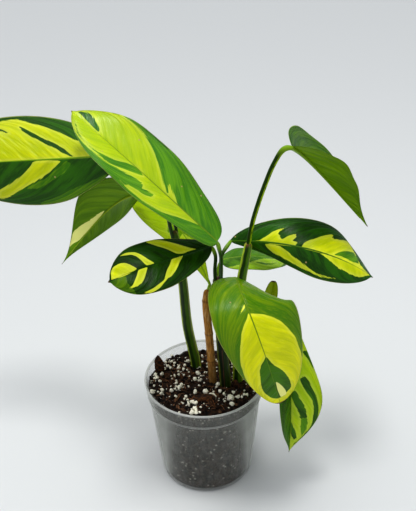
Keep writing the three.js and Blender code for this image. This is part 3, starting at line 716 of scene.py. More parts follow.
class Finish:
    """A procedural material: its Principled shader, and short calls that add nodes before it."""

    def __init__(self, name, **sockets):
        self.material = bpy.data.materials.new(name)
        self.material.use_nodes = True
        self.tree = self.material.node_tree
        self.shader = self.tree.nodes["Principled BSDF"]
        for socket, value in sockets.items():
            self.shader.inputs[socket.replace("_", " ")].default_value = value

    def wire(self, socket, value):
        """Links value to a socket where it is a node's output, and sets it there otherwise."""
        if isinstance(value, bpy.types.NodeSocket):
            self.tree.links.new(value, socket)
        elif socket.type == "RGBA":
            socket.default_value = (*value, 1)
        else:
            socket.default_value = value

    def node(self, kind, *values):
        """A new node of a kind, with values for its first inputs."""
        node = self.tree.nodes.new(f"ShaderNode{kind}")
        for socket, value in zip(node.inputs, values):
            self.wire(socket, value)
        return node

    def surface(self, socket, value):
        """Gives one of the shader's sockets its value."""
        self.wire(self.shader.inputs[socket], value)

    def math(self, operation, *values):
        """The result of a Math node."""
        node = self.node("Math", *values)
        node.operation = operation
        return node.outputs[0]

    def times(self, first, second):
        """first times second."""
        return self.math("MULTIPLY", first, second)

    def times_plus(self, first, second, third):
        """first times second, plus third."""
        return self.math("MULTIPLY_ADD", first, second, third)

    def step(self, value, low, high):
        """Runs smoothly from 0 where value is low to 1 where it is high."""
        node = self.node("MapRange", value, low, high, 0.0, 1.0)
        node.interpolation_type = "SMOOTHSTEP"
        return node.outputs[0]

    def mix(self, share, first, second):
        """A colour that runs from the first to the second as share runs from 0 to 1."""
        node = self.node("Mix", share)
        node.data_type = "RGBA"
        for socket, colour in zip((s for s in node.inputs if s.type == "RGBA"), (first, second)):
            self.wire(socket, colour)
        return next(socket for socket in node.outputs if socket.type == "RGBA")

    def layer(self, colour, over, share, value, low, high):
        """Paints over on a colour, up to a share of it, as value runs from low to high."""
        return self.mix(self.times(self.step(value, low, high), share), colour, over)

    def vector(self, x, y, z):
        """Three numbers as one vector."""
        return self.node("CombineXYZ", x, y, z).outputs[0]

    def parts(self, vector):
        """A vector's three numbers."""
        return tuple(self.node("SeparateXYZ", vector).outputs)

    def attribute(self, name):
        """The three numbers of a mesh attribute."""
        node = self.node("Attribute")
        node.attribute_name = name
        return self.parts(node.outputs["Vector"])

    def place(self):
        """The point of the surface in the object's own metres."""
        return self.node("TexCoord").outputs["Object"]

    def noise(self, vector, scale, detail):
        """Soft noise from about 0.25 to 0.75."""
        node = self.node("TexNoise", vector)
        node.inputs["Scale"].default_value = scale
        node.inputs["Detail"].default_value = detail
        return node.outputs[0]

    def white(self, vector):
        """A drawn number from 0 to 1, alike wherever the vector is alike."""
        return self.node("TexWhiteNoise", vector).outputs["Value"]

    def cells(self, vector, scale):
        """The distance to the nearest of many scattered points."""
        node = self.node("TexVoronoi", vector)
        node.inputs["Scale"].default_value = scale
        return node.outputs["Distance"]

    def facing(self):
        """From 0 where the surface faces the eye to 1 where it turns away, for glassy edges."""
        return self.node("LayerWeight", 0.5).outputs["Facing"]

    def bump(self, height, distance, strength):
        """Raises the surface by height times distance, in metres."""
        node = self.node("Bump")
        node.inputs["Strength"].default_value = strength
        node.inputs["Distance"].default_value = distance
        self.wire(node.inputs["Height"], height)
        self.surface("Normal", node.outputs[0])


def mixed(first, second, share):
    """The colour that lies between two colours, second's share of the way."""
    return tuple(a + (b - a) * share for a, b in zip(first, second))


def ring_turns(sides):
    """The turns of a ring's points, evenly round it."""
    return np.linspace(0, 2 * np.pi, sides, endpoint=False)


def signed_power(values, power):
    """The values' sizes raised to a power, with their signs kept."""
    return np.sign(values) * np.abs(values) ** power


def unit(vectors):
    """Vectors scaled to a length of 1."""
    return vectors / np.linalg.norm(vectors, axis=-1, keepdims=True)


def square_to(vectors, along):
    """Vectors freed of what points along others, and scaled to a length of 1."""
    return unit(vectors - along * (along * vectors).sum(1, keepdims=True))


def run_length(path):
    """How far along a path each of its points lies."""
    return np.concatenate([[0], np.cumsum(np.linalg.norm(np.diff(path, axis=0), axis=1))])


def skin(rings):
    """Closes a stack of rings of points into a shell.

    Neighbouring rings are joined by four-sided faces, and the middle of the first and of the last
    ring closes each end with triangles. Rings that run against the clock, seen from ahead, face out.
    """
    count, around, _ = rings.shape
    here = np.arange(count * around).reshape(count, around)
    beside = np.roll(here, -1, axis=1)
    walls = np.stack([here[:-1], beside[:-1], beside[1:], here[1:]], -1).reshape(-1, 4)
    first = np.full(around, count * around)
    ends = np.concatenate([
        np.stack([first, beside[0], here[0]], -1),
        np.stack([first + 1, here[-1], beside[-1]], -1),
    ])
    return capped(rings), [walls, ends]


def capped(rings):
    """The values of a stack of rings in a row, then the mean of the first and of the last ring."""
    return np.concatenate([rings.reshape(-1, 3), rings[:1].mean(1), rings[-1:].mean(1)])


def joined(shells):
    """Several shells as one: their points in a row, and their faces renumbered to match."""
    points = []
    faces = []
    start = 0
    for shell_points, shell_faces in shells:
        points.append(shell_points)
        faces.extend(block + start for block in shell_faces)
        start += len(shell_points)
    return np.concatenate(points), faces


def linked(name, data):
    """A new object in the scene, at its origin."""
    made = bpy.data.objects.new(name, data)
    bpy.context.scene.collection.objects.link(made)
    return made


def mesh_of(name, shell):
    """A mesh in metres of a shell in millimetres."""
    points, faces = shell
    mesh = bpy.data.meshes.new(name)
    polygons = [corners for block in faces for corners in block.tolist()]
    mesh.from_pydata((points * MM).tolist(), [], polygons)
    return mesh


def piece(name, shell, material, node, fields=(), smooth=True):
    """Makes a shell an object that stands for a node of the frame, with its mesh attributes."""
    mesh = mesh_of(name, shell)
    for field, values in dict(fields).items():
        attribute = mesh.attributes.new(field, "FLOAT_VECTOR", "POINT")
        attribute.data.foreach_set("vector", np.ascontiguousarray(values, np.float32).ravel())
    mesh.polygons.foreach_set("use_smooth", np.full(len(mesh.polygons), smooth))
    mesh.update()
    mesh.materials.append(material)
    made = linked(name, mesh)
    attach(made, BODY)
    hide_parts(node)
    return made


def smooth_route(points, count):
    """A centripetal Catmull-Rom curve through points, with equal steps from point to point.

    Each stretch is a cubic between its two points. Its ends' directions come from the neighbours,
    weighed by the square roots of the distances, and the route runs straight on past both ends.
    """
    points = np.asarray(points, float)
    padded = np.concatenate([
        2 * points[:1] - points[1:2], points, 2 * points[-1:] - points[-2:-1],
    ])
    place = np.linspace(0, len(points) - 1, count)
    i = np.minimum(place.astype(int), len(points) - 2)
    w = (place - i)[:, None]
    p0, p1, p2, p3 = (padded[i + k] for k in range(4))
    d0, d1, d2 = (
        np.linalg.norm(b - a, axis=1, keepdims=True) ** 0.5
        for a, b in ((p0, p1), (p1, p2), (p2, p3))
    )
    m1 = ((p1 - p0) / d0 - (p2 - p0) / (d0 + d1) + (p2 - p1) / d1) * d1
    m2 = ((p2 - p1) / d1 - (p3 - p1) / (d1 + d2) + (p3 - p2) / d2) * d1
    return (
        (2 * w**3 - 3 * w**2 + 1) * p1 + (w**3 - 2 * w**2 + w) * m1
        + (3 * w**2 - 2 * w**3) * p2 + (w**3 - w**2) * m2
    )


def swept(path, radii, across, sides):
    """Rings of points round a path.

    Each ring's radius may change with the turn round it, from the direction across and against
    the clock seen from ahead.
    """
    along = unit(np.gradient(path, axis=0))
    across = square_to(np.broadcast_to(np.asarray(across, float), path.shape), along)
    other = np.cross(along, across)
    turns = ring_turns(sides)
    radii = np.broadcast_to(radii, (len(path), sides))
    return (
        path[:, None]
        + across[:, None] * (radii * np.cos(turns))[..., None]
        + other[:, None] * (radii * np.sin(turns))[..., None]
    )


def turned(profile, sides):
    """Rings of a turned shape from its profile of radii and heights."""
    radius, height = np.array(profile, float).T
    turns = ring_turns(sides)
    return np.stack(np.broadcast_arrays(
        radius[:, None] * np.cos(turns), radius[:, None] * np.sin(turns), height[:, None],
    ), -1)


def arc(centre, radius, start, end, steps):
    """Points of a circle's arc, as radius and height, from one angle in degrees to another."""
    angles = np.radians(np.linspace(start, end, steps))
    return [(centre[0] + radius * math.cos(a), centre[1] + radius * math.sin(a)) for a in angles]


def midrib(leaf, t):
    """The cubic curve of a midrib at the shares t, and the unit vectors along, up and to the right.

    Up is the way that the upper face looks, which runs evenly from its base value to its tip's.
    """
    base, first, second, tip = (np.array(point, float) for point in leaf["midrib"])
    t = t[:, None]
    u = 1 - t
    middle = u**3 * base + 3 * u**2 * t * first + 3 * u * t**2 * second + t**3 * tip
    along = unit(u**2 * (first - base) + 2 * u * t * (second - first) + t**2 * (tip - second))
    start, end = (np.array(way, float) for way in leaf["face"])
    face = square_to(start + (end - start) * t, along)
    return middle, along, face, np.cross(along, face)


def midrib_lengths(leaf):
    """Shares along a midrib, and the length in millimetres at each."""
    shares = np.linspace(0, 1, CURVE_STEPS)
    return shares, run_length(midrib(leaf, shares)[0])


def half_width(leaf, t):
    """A blade's half width, 1 at its widest.

    It is the sine of half a turn, skewed so that its peak lies where the blade is widest, and
    raised to a power that runs from the base's end value to the tip's. Where the blade has a beak,
    the sine ends before it, and a narrow point takes over.
    """
    beak = leaf.get("beak", 0.0)
    skew = math.log(0.5) / math.log(leaf["widest"])
    power = leaf["ends"][0] + (leaf["ends"][1] - leaf["ends"][0]) * t
    body = np.maximum(np.sin(np.pi * np.clip(t / (1 - beak), 0, 1) ** skew), 0) ** power
    point = BEAK_WIDTH * np.clip((1 - t) / (beak + BEAK_LAP), 0, 1) * (t > 0.5)
    return np.maximum(body, point) if beak else body


def blade_reach(leaf, t, v):
    """How far in millimetres a blade reaches at t along it, on the side that v's sign gives."""
    left, right = leaf["width"]
    return np.where(v < 0, left, right) * half_width(leaf, t)


def blade_sheet(leaf, t, v):
    """The middle sheet of a blade over t along its midrib and v across it, and its normals.

    Each half is an arc that starts at the fold's angle and turns back by the droop's, with a
    ripple that grows with the square of v. Also gives the flat place of each point: its length
    along the midrib, its distance to the right of it, and its share of the way to the edge.
    """
    middle, _, face, side = midrib(leaf, t)
    t = t[:, None]
    v = v[None]
    reach = blade_reach(leaf, t, v)
    share = np.abs(v)
    sign = np.sign(v)
    fold = math.radians(leaf["fold"])
    bend = math.radians(leaf["droop"]) or 0.001
    turn = fold - bend * share
    out = (math.sin(fold) - np.sin(turn)) / bend * reach * sign
    lift = (np.cos(turn) - math.cos(fold)) / bend * reach
    ripple = np.sin(RIPPLE_ALONG * t + RIPPLE_ACROSS * v)
    lift = lift + leaf["wave"] * half_width(leaf, t) * share**2 * ripple
    points = middle[:, None] + side[:, None] * out[..., None] + face[:, None] * lift[..., None]
    tilt = turn * sign
    normals = face[:, None] * np.cos(tilt)[..., None] - side[:, None] * np.sin(tilt)[..., None]
    length = run_length(middle)[:, None]
    flat = np.stack(np.broadcast_arrays(length, reach * v, share), -1)
    return points, normals, flat


def vein_line(leaf, flat):
    """Where the side vein through a flat place leaves the midrib, in millimetres along it.

    A vein leans ahead evenly with its distance from the midrib, and turns ahead along the edge
    with the seventh power of its share of the way there.
    """
    lean, turn = leaf["veins"]
    return flat[..., 0] - lean * np.abs(flat[..., 1]) - turn * flat[..., 2] ** 7


def flat_outline(leaf, outline):
    """An outline given in shares, rounded at its corners and laid on the flat blade.

    Corners are cut a seventh of the way along their sides, and each side then gets points
    between its ends. A point past the edge or the tip moves a little further out, so that the
    marking covers the margin.
    """
    points = np.array(outline, float)
    for cuts in ((1 / 7, 6 / 7), (0, 0.25, 0.5, 0.75)):
        ahead = np.roll(points, -1, axis=0)
        points = np.stack([(1 - cut) * points + cut * ahead for cut in cuts], 1).reshape(-1, 2)
    t = np.clip(points[:, 0], 0, 1)
    v = points[:, 1]
    past_edge = np.clip((np.abs(v) - EDGE_START) / EDGE_RUN, 0, 1) * np.sign(v)
    past_tip = np.clip((t - TIP_START) / TIP_RUN, 0, 1)
    length = np.interp(t, *midrib_lengths(leaf)) + OUTLINE_OVERLAP * past_tip
    return np.stack([length, v * blade_reach(leaf, t, v) + OUTLINE_OVERLAP * past_edge], -1)


def depth_inside(points, outline):
    """How deep points lie inside a closed outline: their distance to it, negative outside.

    A point is inside where a line from it to the left crosses the outline an odd number of times.
    """
    start = outline
    side = np.roll(outline, -1, axis=0) - start
    offset = points[:, None] - start
    squared = np.maximum((side**2).sum(-1), 1e-9)
    share = np.clip((offset * side).sum(-1) / squared, 0, 1)
    distance = np.linalg.norm(offset - share[..., None] * side, axis=-1).min(1)
    above = points[:, None, 1] > start[:, 1]
    crossed = above != np.roll(above, -1, axis=1)
    rise = np.where(side[:, 1] == 0, 1, side[:, 1])
    meets = start[:, 0] + (points[:, None, 1] - start[:, 1]) / rise * side[:, 0]
    inside = (crossed & (points[:, None, 0] < meets)).sum(1) % 2 == 1
    return np.where(inside, distance, -distance)


def marking_fields(name, leaf, flat):
    """How deep each flat place lies inside the markings of each tone that has a field.

    A marking raises its own colour's depth to its own, and lowers the others' to its negative.
    Common green only lowers.
    """
    places = flat[..., :2].reshape(-1, 2)
    depths = {
        tone: np.full(len(places), MARKING_REACH if leaf["ground"] == tone else -MARKING_REACH)
        for tone in TONE_FEATHERS
    }
    for painted, outline in MARKINGS.get(name, ()):
        depth = depth_inside(places, flat_outline(leaf, outline))
        for tone, before in depths.items():
            if tone == painted:
                depths[tone] = np.maximum(before, depth)
            else:
                depths[tone] = np.minimum(before, -depth)
    stacked = np.stack(list(depths.values()), -1)
    return np.clip(stacked, -MARKING_REACH, MARKING_REACH).reshape(*flat.shape[:2], 3)


def divisions(size, rate, fewest, most):
    """How many steps a size in millimetres gets."""
    return int(np.clip(size * rate, fewest, most))


def blade_shell(name, leaf, look):
    """A blade's closed shell and its fields: two sheets that meet at the edge and at both ends.

    The upper sheet has a groove along the midrib, and both swell a little between side veins.
    Columns crowd towards the midrib, and rows towards the base and the tip.
    """
    rows = divisions(midrib_lengths(leaf)[1][-1], **BLADE_ROWS)
    half_columns = divisions(max(leaf["width"]), **BLADE_COLUMNS)
    v = signed_power(np.linspace(-1, 1, 2 * half_columns + 1), COLUMN_CROWDING)
    t = (1 - np.cos(np.pi * np.linspace(*BLADE_SPAN, rows))) / 2
    middle, normals, flat = blade_sheet(leaf, t, v)
    line = vein_line(leaf, flat)
    share = flat[..., 2]
    swell = look.vein_relief / MM * np.sqrt(share) * (1 - share**4)
    relief = swell * np.cos(2 * np.pi * line / (look.vein_spacing / MM))
    groove = GROOVE_DEPTH * np.exp(-((flat[..., 1] / GROOVE_WIDTH) ** 2)) * (1 - t[:, None] ** 3)
    half = look.thickness / MM / 2 * np.sqrt(1 - share**6)
    upper = middle + normals * (half + relief - groove)[..., None]
    upper = np.where((share == 1)[..., None], middle, upper)
    lower = middle + normals * (relief - half)[..., None]
    back = slice(-2, 0, -1)
    tones = marking_fields(name, leaf, flat)
    part = np.stack([line, np.zeros(line.shape), np.zeros(line.shape)], -1)
    under_part = part[:, back] + (0, 1, 0)
    fields = {
        "leaf_place": capped(np.concatenate([flat, flat[:, back]], axis=1)),
        "leaf_tone": capped(np.concatenate([tones, tones[:, back]], axis=1)),
        "leaf_part": capped(np.concatenate([part, under_part], axis=1)),
    }
    return skin(np.concatenate([upper, lower[:, back]], axis=1)), fields


def stalk_shell(leaf):
    """A leaf's stalk, which runs on under the blade as the raised midrib, with its fields.

    The stalk is a tube along a smooth route to the blade's base, and swells just before it. Under
    the blade the tube shrinks evenly, with its top held below the upper face.
    """
    t = np.linspace(0, MIDRIB_END, MIDRIB_RINGS)
    middle, _, face, side = midrib(leaf, t)
    start_radius = MIDRIB_START_SHARE * leaf["stalk"]
    rib_radii = np.interp(t, [0, MIDRIB_END], [start_radius, MIDRIB_END_RADIUS])
    rib = middle - face * (MIDRIB_SINK * rib_radii)[:, None]
    base = middle[0]
    rings = STALK_RINGS_A_POINT * len(leaf["petiole"])
    stalk = smooth_route([*leaf["petiole"], base], rings)[:-1]
    away = np.linalg.norm(stalk - base, axis=1)
    swelling = 1 + SWELLING * np.exp(-(((away - SWELLING_AT) / SWELLING_REACH) ** 2))
    ease = np.clip(1 - away / STALK_EASE, 0, 1) ** 2
    path = np.concatenate([stalk - face[:1] * ease[:, None] * MIDRIB_SINK * start_radius, rib])
    radii = np.concatenate([leaf["stalk"] * swelling * (1 - STALK_NARROWING * ease), rib_radii])
    across = np.concatenate([np.repeat(side[:1], len(stalk), axis=0), side])
    length = run_length(path)
    length = length - length[len(stalk)]
    turns = ring_turns(STALK_SIDES)
    place = np.stack(np.broadcast_arrays(length[:, None], np.cos(turns), np.sin(turns)), -1)
    fields = {
        "leaf_place": capped(place),
        "leaf_tone": capped(0 * place),
        "leaf_part": capped(0 * place + (0, 0, 1)),
    }
    return skin(swept(path, radii[:, None], across, STALK_SIDES)), fields


def leaf_greens(name, look):
    """A leaf's greens by name: its own where TONES gives them, and the plant's otherwise."""
    own = {tone: display(*value) for tone, value in TONES[name].items()}
    lime, mid, dark, cream = (
        tuple(min(look.depth * value, BRIGHTEST_GREEN) for value in own.get(tone, getattr(look, tone)))
        for tone in ("lime", "mid", "dark", "cream")
    )
    neck = mixed(look.rib, mid, 0.4)
    return SimpleNamespace(
        lime=lime, mid=mid, dark=dark, cream=cream, neck=neck, rib=own.get("rib", neck),
        under=own.get("under", mixed(mid, UNDER_GREEN, 0.3)),
        under_dark=mixed(own.get("under", mid), dark, 0.5),
    )


def leaf_reads(finish, tooth, seed):
    """What a leaf's finish reads: its fields, and noise drawn out along its side veins.

    broad and fine are streaks, patch is soft patches, and feather moves a marking's edge in and
    out, by streaks and by steps between side veins, and by nothing at the midrib.
    """
    length, out, share = finish.attribute("leaf_place")
    depths = dict(zip(TONE_FEATHERS, finish.attribute("leaf_tone")))
    line, under, stalk = finish.attribute("leaf_part")
    distance = finish.math("ABSOLUTE", out)
    half = finish.times(finish.math("GREATER_THAN", out, 0.0), HALVES_APART)
    streaks = finish.vector(line, finish.times_plus(distance, 0.13, half), float(seed * 10))
    broad = finish.noise(streaks, 0.35, 3)
    fine = finish.noise(streaks, 1.6, 3)
    wander = finish.times_plus(distance, 0.4, half)
    patch = finish.noise(finish.vector(line, wander, seed + 0.5), 0.12, 2)
    band = finish.math("FLOOR", finish.math("DIVIDE", line, VEIN_BAND))
    drawn = finish.white(finish.vector(band, half, float(seed)))
    feather = finish.times_plus(broad, 1.6, finish.times(fine, 1.4))
    feather = finish.times_plus(drawn, 1.7, finish.math("SUBTRACT", feather, 2.35))
    feather = finish.times(feather, finish.step(distance, 0.6, 4.5))
    return SimpleNamespace(
        length=length, out=out, share=share, distance=distance, line=line, under=under,
        stalk=stalk, broad=broad, fine=fine, patch=patch, feather=feather, tooth=tooth,
        depths=depths,
    )


def marking_mask(finish, leaf, tone):
    """1 inside the markings of a tone and 0 outside, with a feathered edge."""
    moved = finish.times_plus(leaf.feather, TONE_FEATHERS[tone] * leaf.tooth, leaf.depths[tone])
    return finish.step(moved, -MARKING_BLUR, MARKING_BLUR)


def blade_colour(finish, leaf, greens):
    """Common green under dark and lime markings, each with patches and streaks of its own."""
    lime, mid, dark, cream = greens.lime, greens.mid, greens.dark, greens.cream
    patchy = finish.step(leaf.patch, 0.4, 0.6)
    common = finish.mix(patchy, mixed(mid, dark, 0.45), mixed(mid, lime, 0.1))
    common = finish.layer(common, mixed(mid, dark, 0.6), 0.55, leaf.broad, 0.42, 0.62)
    common = finish.layer(common, mixed(mid, lime, 0.28), 0.6, leaf.fine, 0.5, 0.75)
    deep = finish.mix(patchy, mixed(dark, BLACK, 0.4), mixed(dark, mid, 0.2))
    deep = finish.layer(deep, mixed(dark, mid, 0.4), 0.6, leaf.fine, 0.45, 0.7)
    bright = finish.mix(finish.step(leaf.patch, 0.4, 0.62), mixed(lime, mid, 0.24), lime)
    inside = leaf.depths["lime"]
    bright = finish.layer(bright, mixed(lime, mid, 0.45), 0.35, inside, 3.5, 7.5)
    bright = finish.layer(bright, mixed(lime, cream, 0.45), 0.3, inside, 3.0, 0.6)
    bright = finish.layer(bright, mixed(lime, cream, 0.3), 0.5, leaf.fine, 0.55, 0.74)
    colour = finish.mix(marking_mask(finish, leaf, "dark"), common, deep)
    return finish.mix(marking_mask(finish, leaf, "lime"), colour, bright)


def veined_colour(finish, leaf, greens, colour, veins, tip_length):
    """Adds the fine and main side veins, the midrib's narrowing line and the pale margin."""
    lime, mid = greens.lime, greens.mid
    fine_vein, main_vein = veins
    colour = finish.layer(colour, mixed(lime, mid, 0.6), 0.06, fine_vein, 0.2, 1.0)
    colour = finish.layer(colour, greens.dark, 0.05, main_vein, 0.0, -1.0)
    rib_width = finish.times_plus(finish.step(leaf.length, tip_length, 0.0), 0.5, 0.12)
    inside_rib = finish.math("SUBTRACT", rib_width, leaf.distance)
    colour = finish.layer(colour, greens.rib, 0.75, inside_rib, -0.2, 0.2)
    return finish.layer(colour, mixed(lime, PALE_MARGIN, 0.3), 0.5, leaf.share, 0.972, 0.992)


def under_colour(finish, leaf, greens):
    """The paler underside, with soft patches and streaks."""
    under = greens.under
    colour = finish.layer(under, mixed(under, greens.lime, 0.35), 0.5, leaf.patch, 0.38, 0.62)
    return finish.layer(colour, greens.under_dark, 0.5, leaf.broad, 0.42, 0.62)


def stalk_colour(finish, leaf, greens, look):
    """The stalk: dark, partly as painted shade, with a pale side, pale just before the blade, and then
    the midrib's green.
    """
    squeezed = finish.vector(finish.times(leaf.length, 0.08), leaf.out, leaf.share)
    grain = finish.noise(squeezed, 2.5, 3)
    pale_side = finish.step(leaf.out, 0.45, 0.95)
    colour = finish.mix(pale_side, look.stalk, mixed(greens.lime, greens.mid, 0.35))
    grained = finish.step(grain, 0.45, 0.65)
    colour = finish.mix(grained, colour, mixed(look.stalk, greens.dark, 0.6))
    colour = finish.mix(finish.step(leaf.length, -14.0, -3.0), colour, greens.neck)
    return finish.mix(finish.step(leaf.length, -1.5, 3.0), colour, greens.rib)


def leaf_finish(name, look, seed):
    """A leaf's greens, painted by its marking fields, with edges that feather along the veins."""
    form = LEAVES[name]
    greens = leaf_greens(name, look)
    gloss = form.get("gloss", COMMON_GLOSS)
    finish = Finish(name, Roughness=look.roughness, Specular_IOR_Level=gloss)
    leaf = leaf_reads(finish, form.get("tooth", COMMON_TOOTH), seed)
    tip_length = float(midrib_lengths(form)[1][-1])
    full_turn = 2 * math.pi
    fine_vein = finish.math("SINE", finish.times(leaf.line, full_turn / FINE_VEIN_SPACING))
    main_turns = finish.times(leaf.line, full_turn / (look.vein_spacing / MM))
    veins = (fine_vein, finish.math("COSINE", main_turns))
    colour = blade_colour(finish, leaf, greens)
    colour = veined_colour(finish, leaf, greens, colour, veins, tip_length)
    spots = finish.cells(finish.vector(leaf.length, leaf.out, seed * 3.7), 0.06)
    colour = finish.layer(colour, FLECK, 0.8, spots, 0.055, 0.035)
    colour = finish.mix(finish.times(leaf.under, 0.7), colour, under_colour(finish, leaf, greens))
    cream_mask = marking_mask(finish, leaf, "cream")
    colour = finish.mix(cream_mask, colour, greens.cream)
    tip = finish.step(leaf.length, tip_length - 2.0, tip_length - 0.8)
    colour = finish.mix(tip, colour, DRY_TIP)
    colour = finish.mix(leaf.stalk, colour, stalk_colour(finish, leaf, greens, look))
    finish.surface("Base Color", colour)
    height = finish.times_plus(fine_vein, 0.05, finish.times(leaf.fine, 0.25))
    finish.bump(finish.times_plus(leaf.patch, 4.0, height), 0.0005, 0.8)
    dull = finish.times_plus(leaf.under, 0.22, look.roughness - 0.06)
    finish.surface("Roughness", finish.times_plus(leaf.fine, 0.12, dull))
    return finish.material


def stem_shell(stem, sides, rings, overlap):
    """A stem's shell: a tube along its route down to its roots, wrapped in an overlapping sheath.

    Round the stem the radius grows evenly by a twelfth and drops back at the overlap's edge, which
    turns slowly with height. The top closes as a quarter of an ellipse. Fields: height, turn, and
    the turn past the overlap's edge. A turn can't be averaged, so the middles of both ends take
    their ring's first.
    """
    x, y, level = stem["route"][0]
    path = smooth_route([(x, y, level - ROOTED_DEPTH), *stem["route"]], rings)
    given = [stem["radii"][0], *stem["radii"]]
    places = np.linspace(0, len(given) - 1, rings)
    radii = np.interp(places, np.arange(len(given)), given)[:, None]
    height = path[:, 2:]
    below_top = np.clip(1 - (path[-1, 2] - height) / TOP_ROUNDING, 0, 1)
    closing = np.sqrt(np.clip(1 - below_top**2, 0.02, 1))
    turns = ring_turns(sides)[None]
    edge = math.radians(overlap) + (height - level) * OVERLAP_TWIST
    past = np.mod(turns - edge, 2 * np.pi) / (2 * np.pi)
    wrap = 1 + SHEATH_GROWTH * (past - 0.5) + RIM_RISE * np.exp(-((past / RIM_REACH) ** 2))
    ribs = 1 + STEM_RIB_RISE * np.cos(STEM_RIBS * turns + RIB_TWIST * height)
    place = np.stack(np.broadcast_arrays(height, turns, past), -1)
    ends = np.concatenate([place.reshape(-1, 3), place[0, :1], place[-1, :1]])
    return skin(swept(path, radii * closing * wrap * ribs, (1, 0, 0), sides)), {"stem_place": ends}


def stem_reads(finish):
    """A stem's height, turn and turn past its overlap, and noise drawn out along it."""
    height, turn, past = finish.attribute("stem_place")
    side = finish.math("COSINE", turn)
    front = finish.math("SINE", turn)

    def drawn_out(squeeze, scale, detail):
        """Noise on the stem's face, with its heights squeezed."""
        return finish.noise(
            finish.vector(finish.times(height, squeeze), side, front), scale, detail
        )

    return height, side, past, drawn_out


def stem_finish(name, look, top, shadow):
    """A green sheath: painted shade down its left half and painted highlights along both its sides,
    running its length, with a dry line at the overlap and a dry mouth.
    """
    # shadow scales the greens, as painted shade below 1 and as painted light above 1
    shade, green, edge = (
        mixed(BLACK, colour, shadow) for colour in (look.shade, look.green, look.edge)
    )
    finish = Finish(name, Roughness=0.4, Specular_IOR_Level=0.22)
    height, side, past, drawn_out = stem_reads(finish)
    grain = drawn_out(0.04, 2.4, 4)
    fine = drawn_out(0.02, 9, 3)
    # From painted shade on the left half to green on the right, with painted highlights along both
    # sides
    wobble = finish.times_plus(grain, 0.5, finish.math("SUBTRACT", side, 0.25))
    colour = finish.mix(finish.step(wobble, -0.2, 0.15), shade, green)
    for low, high in ((-0.62, -0.85), (0.72, 0.9)):
        colour = finish.mix(finish.step(wobble, low, high), colour, edge)
    colour = finish.layer(colour, shade, 0.35, fine, 0.45, 0.7)
    colour = finish.layer(colour, look.seam, 0.75, past, 0.035, 0.005)
    ragged = finish.times_plus(grain, 6.0, height)
    colour = finish.layer(colour, look.seam, 0.7, ragged, top - 1, top + 3)
    finish.surface("Base Color", colour)
    finish.bump(fine, 0.0003, 0.5)
    return finish.material


def cane_finish(look):
    """Dry cane: straw brown with long darker streaks, a scar at each ring, and darker olive towards
    its foot.
    """
    finish = Finish("cane_dry", Roughness=0.7, Specular_IOR_Level=0.2)
    height, _, _, drawn_out = stem_reads(finish)
    cane, ring = look.cane, look.ring
    streak = drawn_out(0.03, 5, 4)
    blotch = drawn_out(0.09, 1.5, 2)
    colour = finish.mix(finish.step(streak, 0.4, 0.65), cane, mixed(cane, ring, 0.7))
    colour = finish.mix(finish.step(blotch, 0.5, 0.7), colour, mixed(cane, STRAW, 0.4))
    for level in CANE_RINGS:
        gap = finish.math("ABSOLUTE", finish.math("SUBTRACT", height, float(level)))
        colour = finish.layer(colour, ring, 0.45, gap, 1.3, 0.4)
    # Darker olive towards the foot
    colour = finish.layer(colour, mixed(ring, DARK_OLIVE, 0.4), 0.6, height, 135.0, 96.0)
    finish.surface("Base Color", colour)
    finish.bump(streak, 0.0006, 0.7)
    return finish.material


def pot_profile():
    """The pot's section: its floor and wall outside, its rolled lip, then its inside back down.

    The points near a corner ease it.
    """
    corner = BASE_CORNER_RADIUS
    step = BAND_BOTTOM - SHOULDER_STEP
    neck = RIM_RADIUS - LIP_OVERHANG
    lip = LIP_HEIGHT / 2
    inner = RIM_RADIUS - POT_WALL
    inner_band = RIM_BAND_BOTTOM_RADIUS - POT_WALL
    inner_base = BASE_RADIUS - POT_WALL
    outside = [
        (0.2, 0.6), (6, 0.5), (BASE_RADIUS - 9, 0.4), (BASE_RADIUS - 7, 0),
        *arc((BASE_RADIUS - corner, corner), corner, -88, -4, 10),
        *[
            (BASE_RADIUS + (SHOULDER_RADIUS - BASE_RADIUS) * share, corner + (step - corner) * share)
            for share in np.linspace(0.02, 0.985, 14)
        ],
        (SHOULDER_RADIUS + 0.25, step),
        (RIM_BAND_BOTTOM_RADIUS - 0.35, BAND_BOTTOM - 0.45),
        (RIM_BAND_BOTTOM_RADIUS - 0.05, BAND_BOTTOM - 0.1),
        (RIM_BAND_BOTTOM_RADIUS + 0.02, BAND_BOTTOM + 0.6),
        (RIM_BAND_BOTTOM_RADIUS + 0.55, BAND_BOTTOM + 6),
        (neck - 0.1, POT_HEIGHT - LIP_HEIGHT - 0.3),
        (neck + 0.1, POT_HEIGHT - LIP_HEIGHT),
        *arc((RIM_RADIUS - lip, POT_HEIGHT - lip), lip, -50, 90, 9),
    ]
    inside = [
        (inner - 0.5, POT_HEIGHT - 0.25),
        (inner - 0.8, POT_HEIGHT - 0.8),
        (inner_band + 0.6, BAND_BOTTOM + 6),
        (inner_band, BAND_BOTTOM + 0.4),
        (inner_band - 0.3, BAND_BOTTOM - 0.3),
        (SHOULDER_RADIUS - POT_WALL, step),
        (inner_base + 0.3, corner + 1.5),
        (inner_base - 0.6, corner - 0.8),
        (BASE_RADIUS - corner - 0.5, POT_WALL + 0.1),
        (BASE_RADIUS - 9, POT_WALL),
        (0.2, POT_WALL),
    ]
    return outside + inside


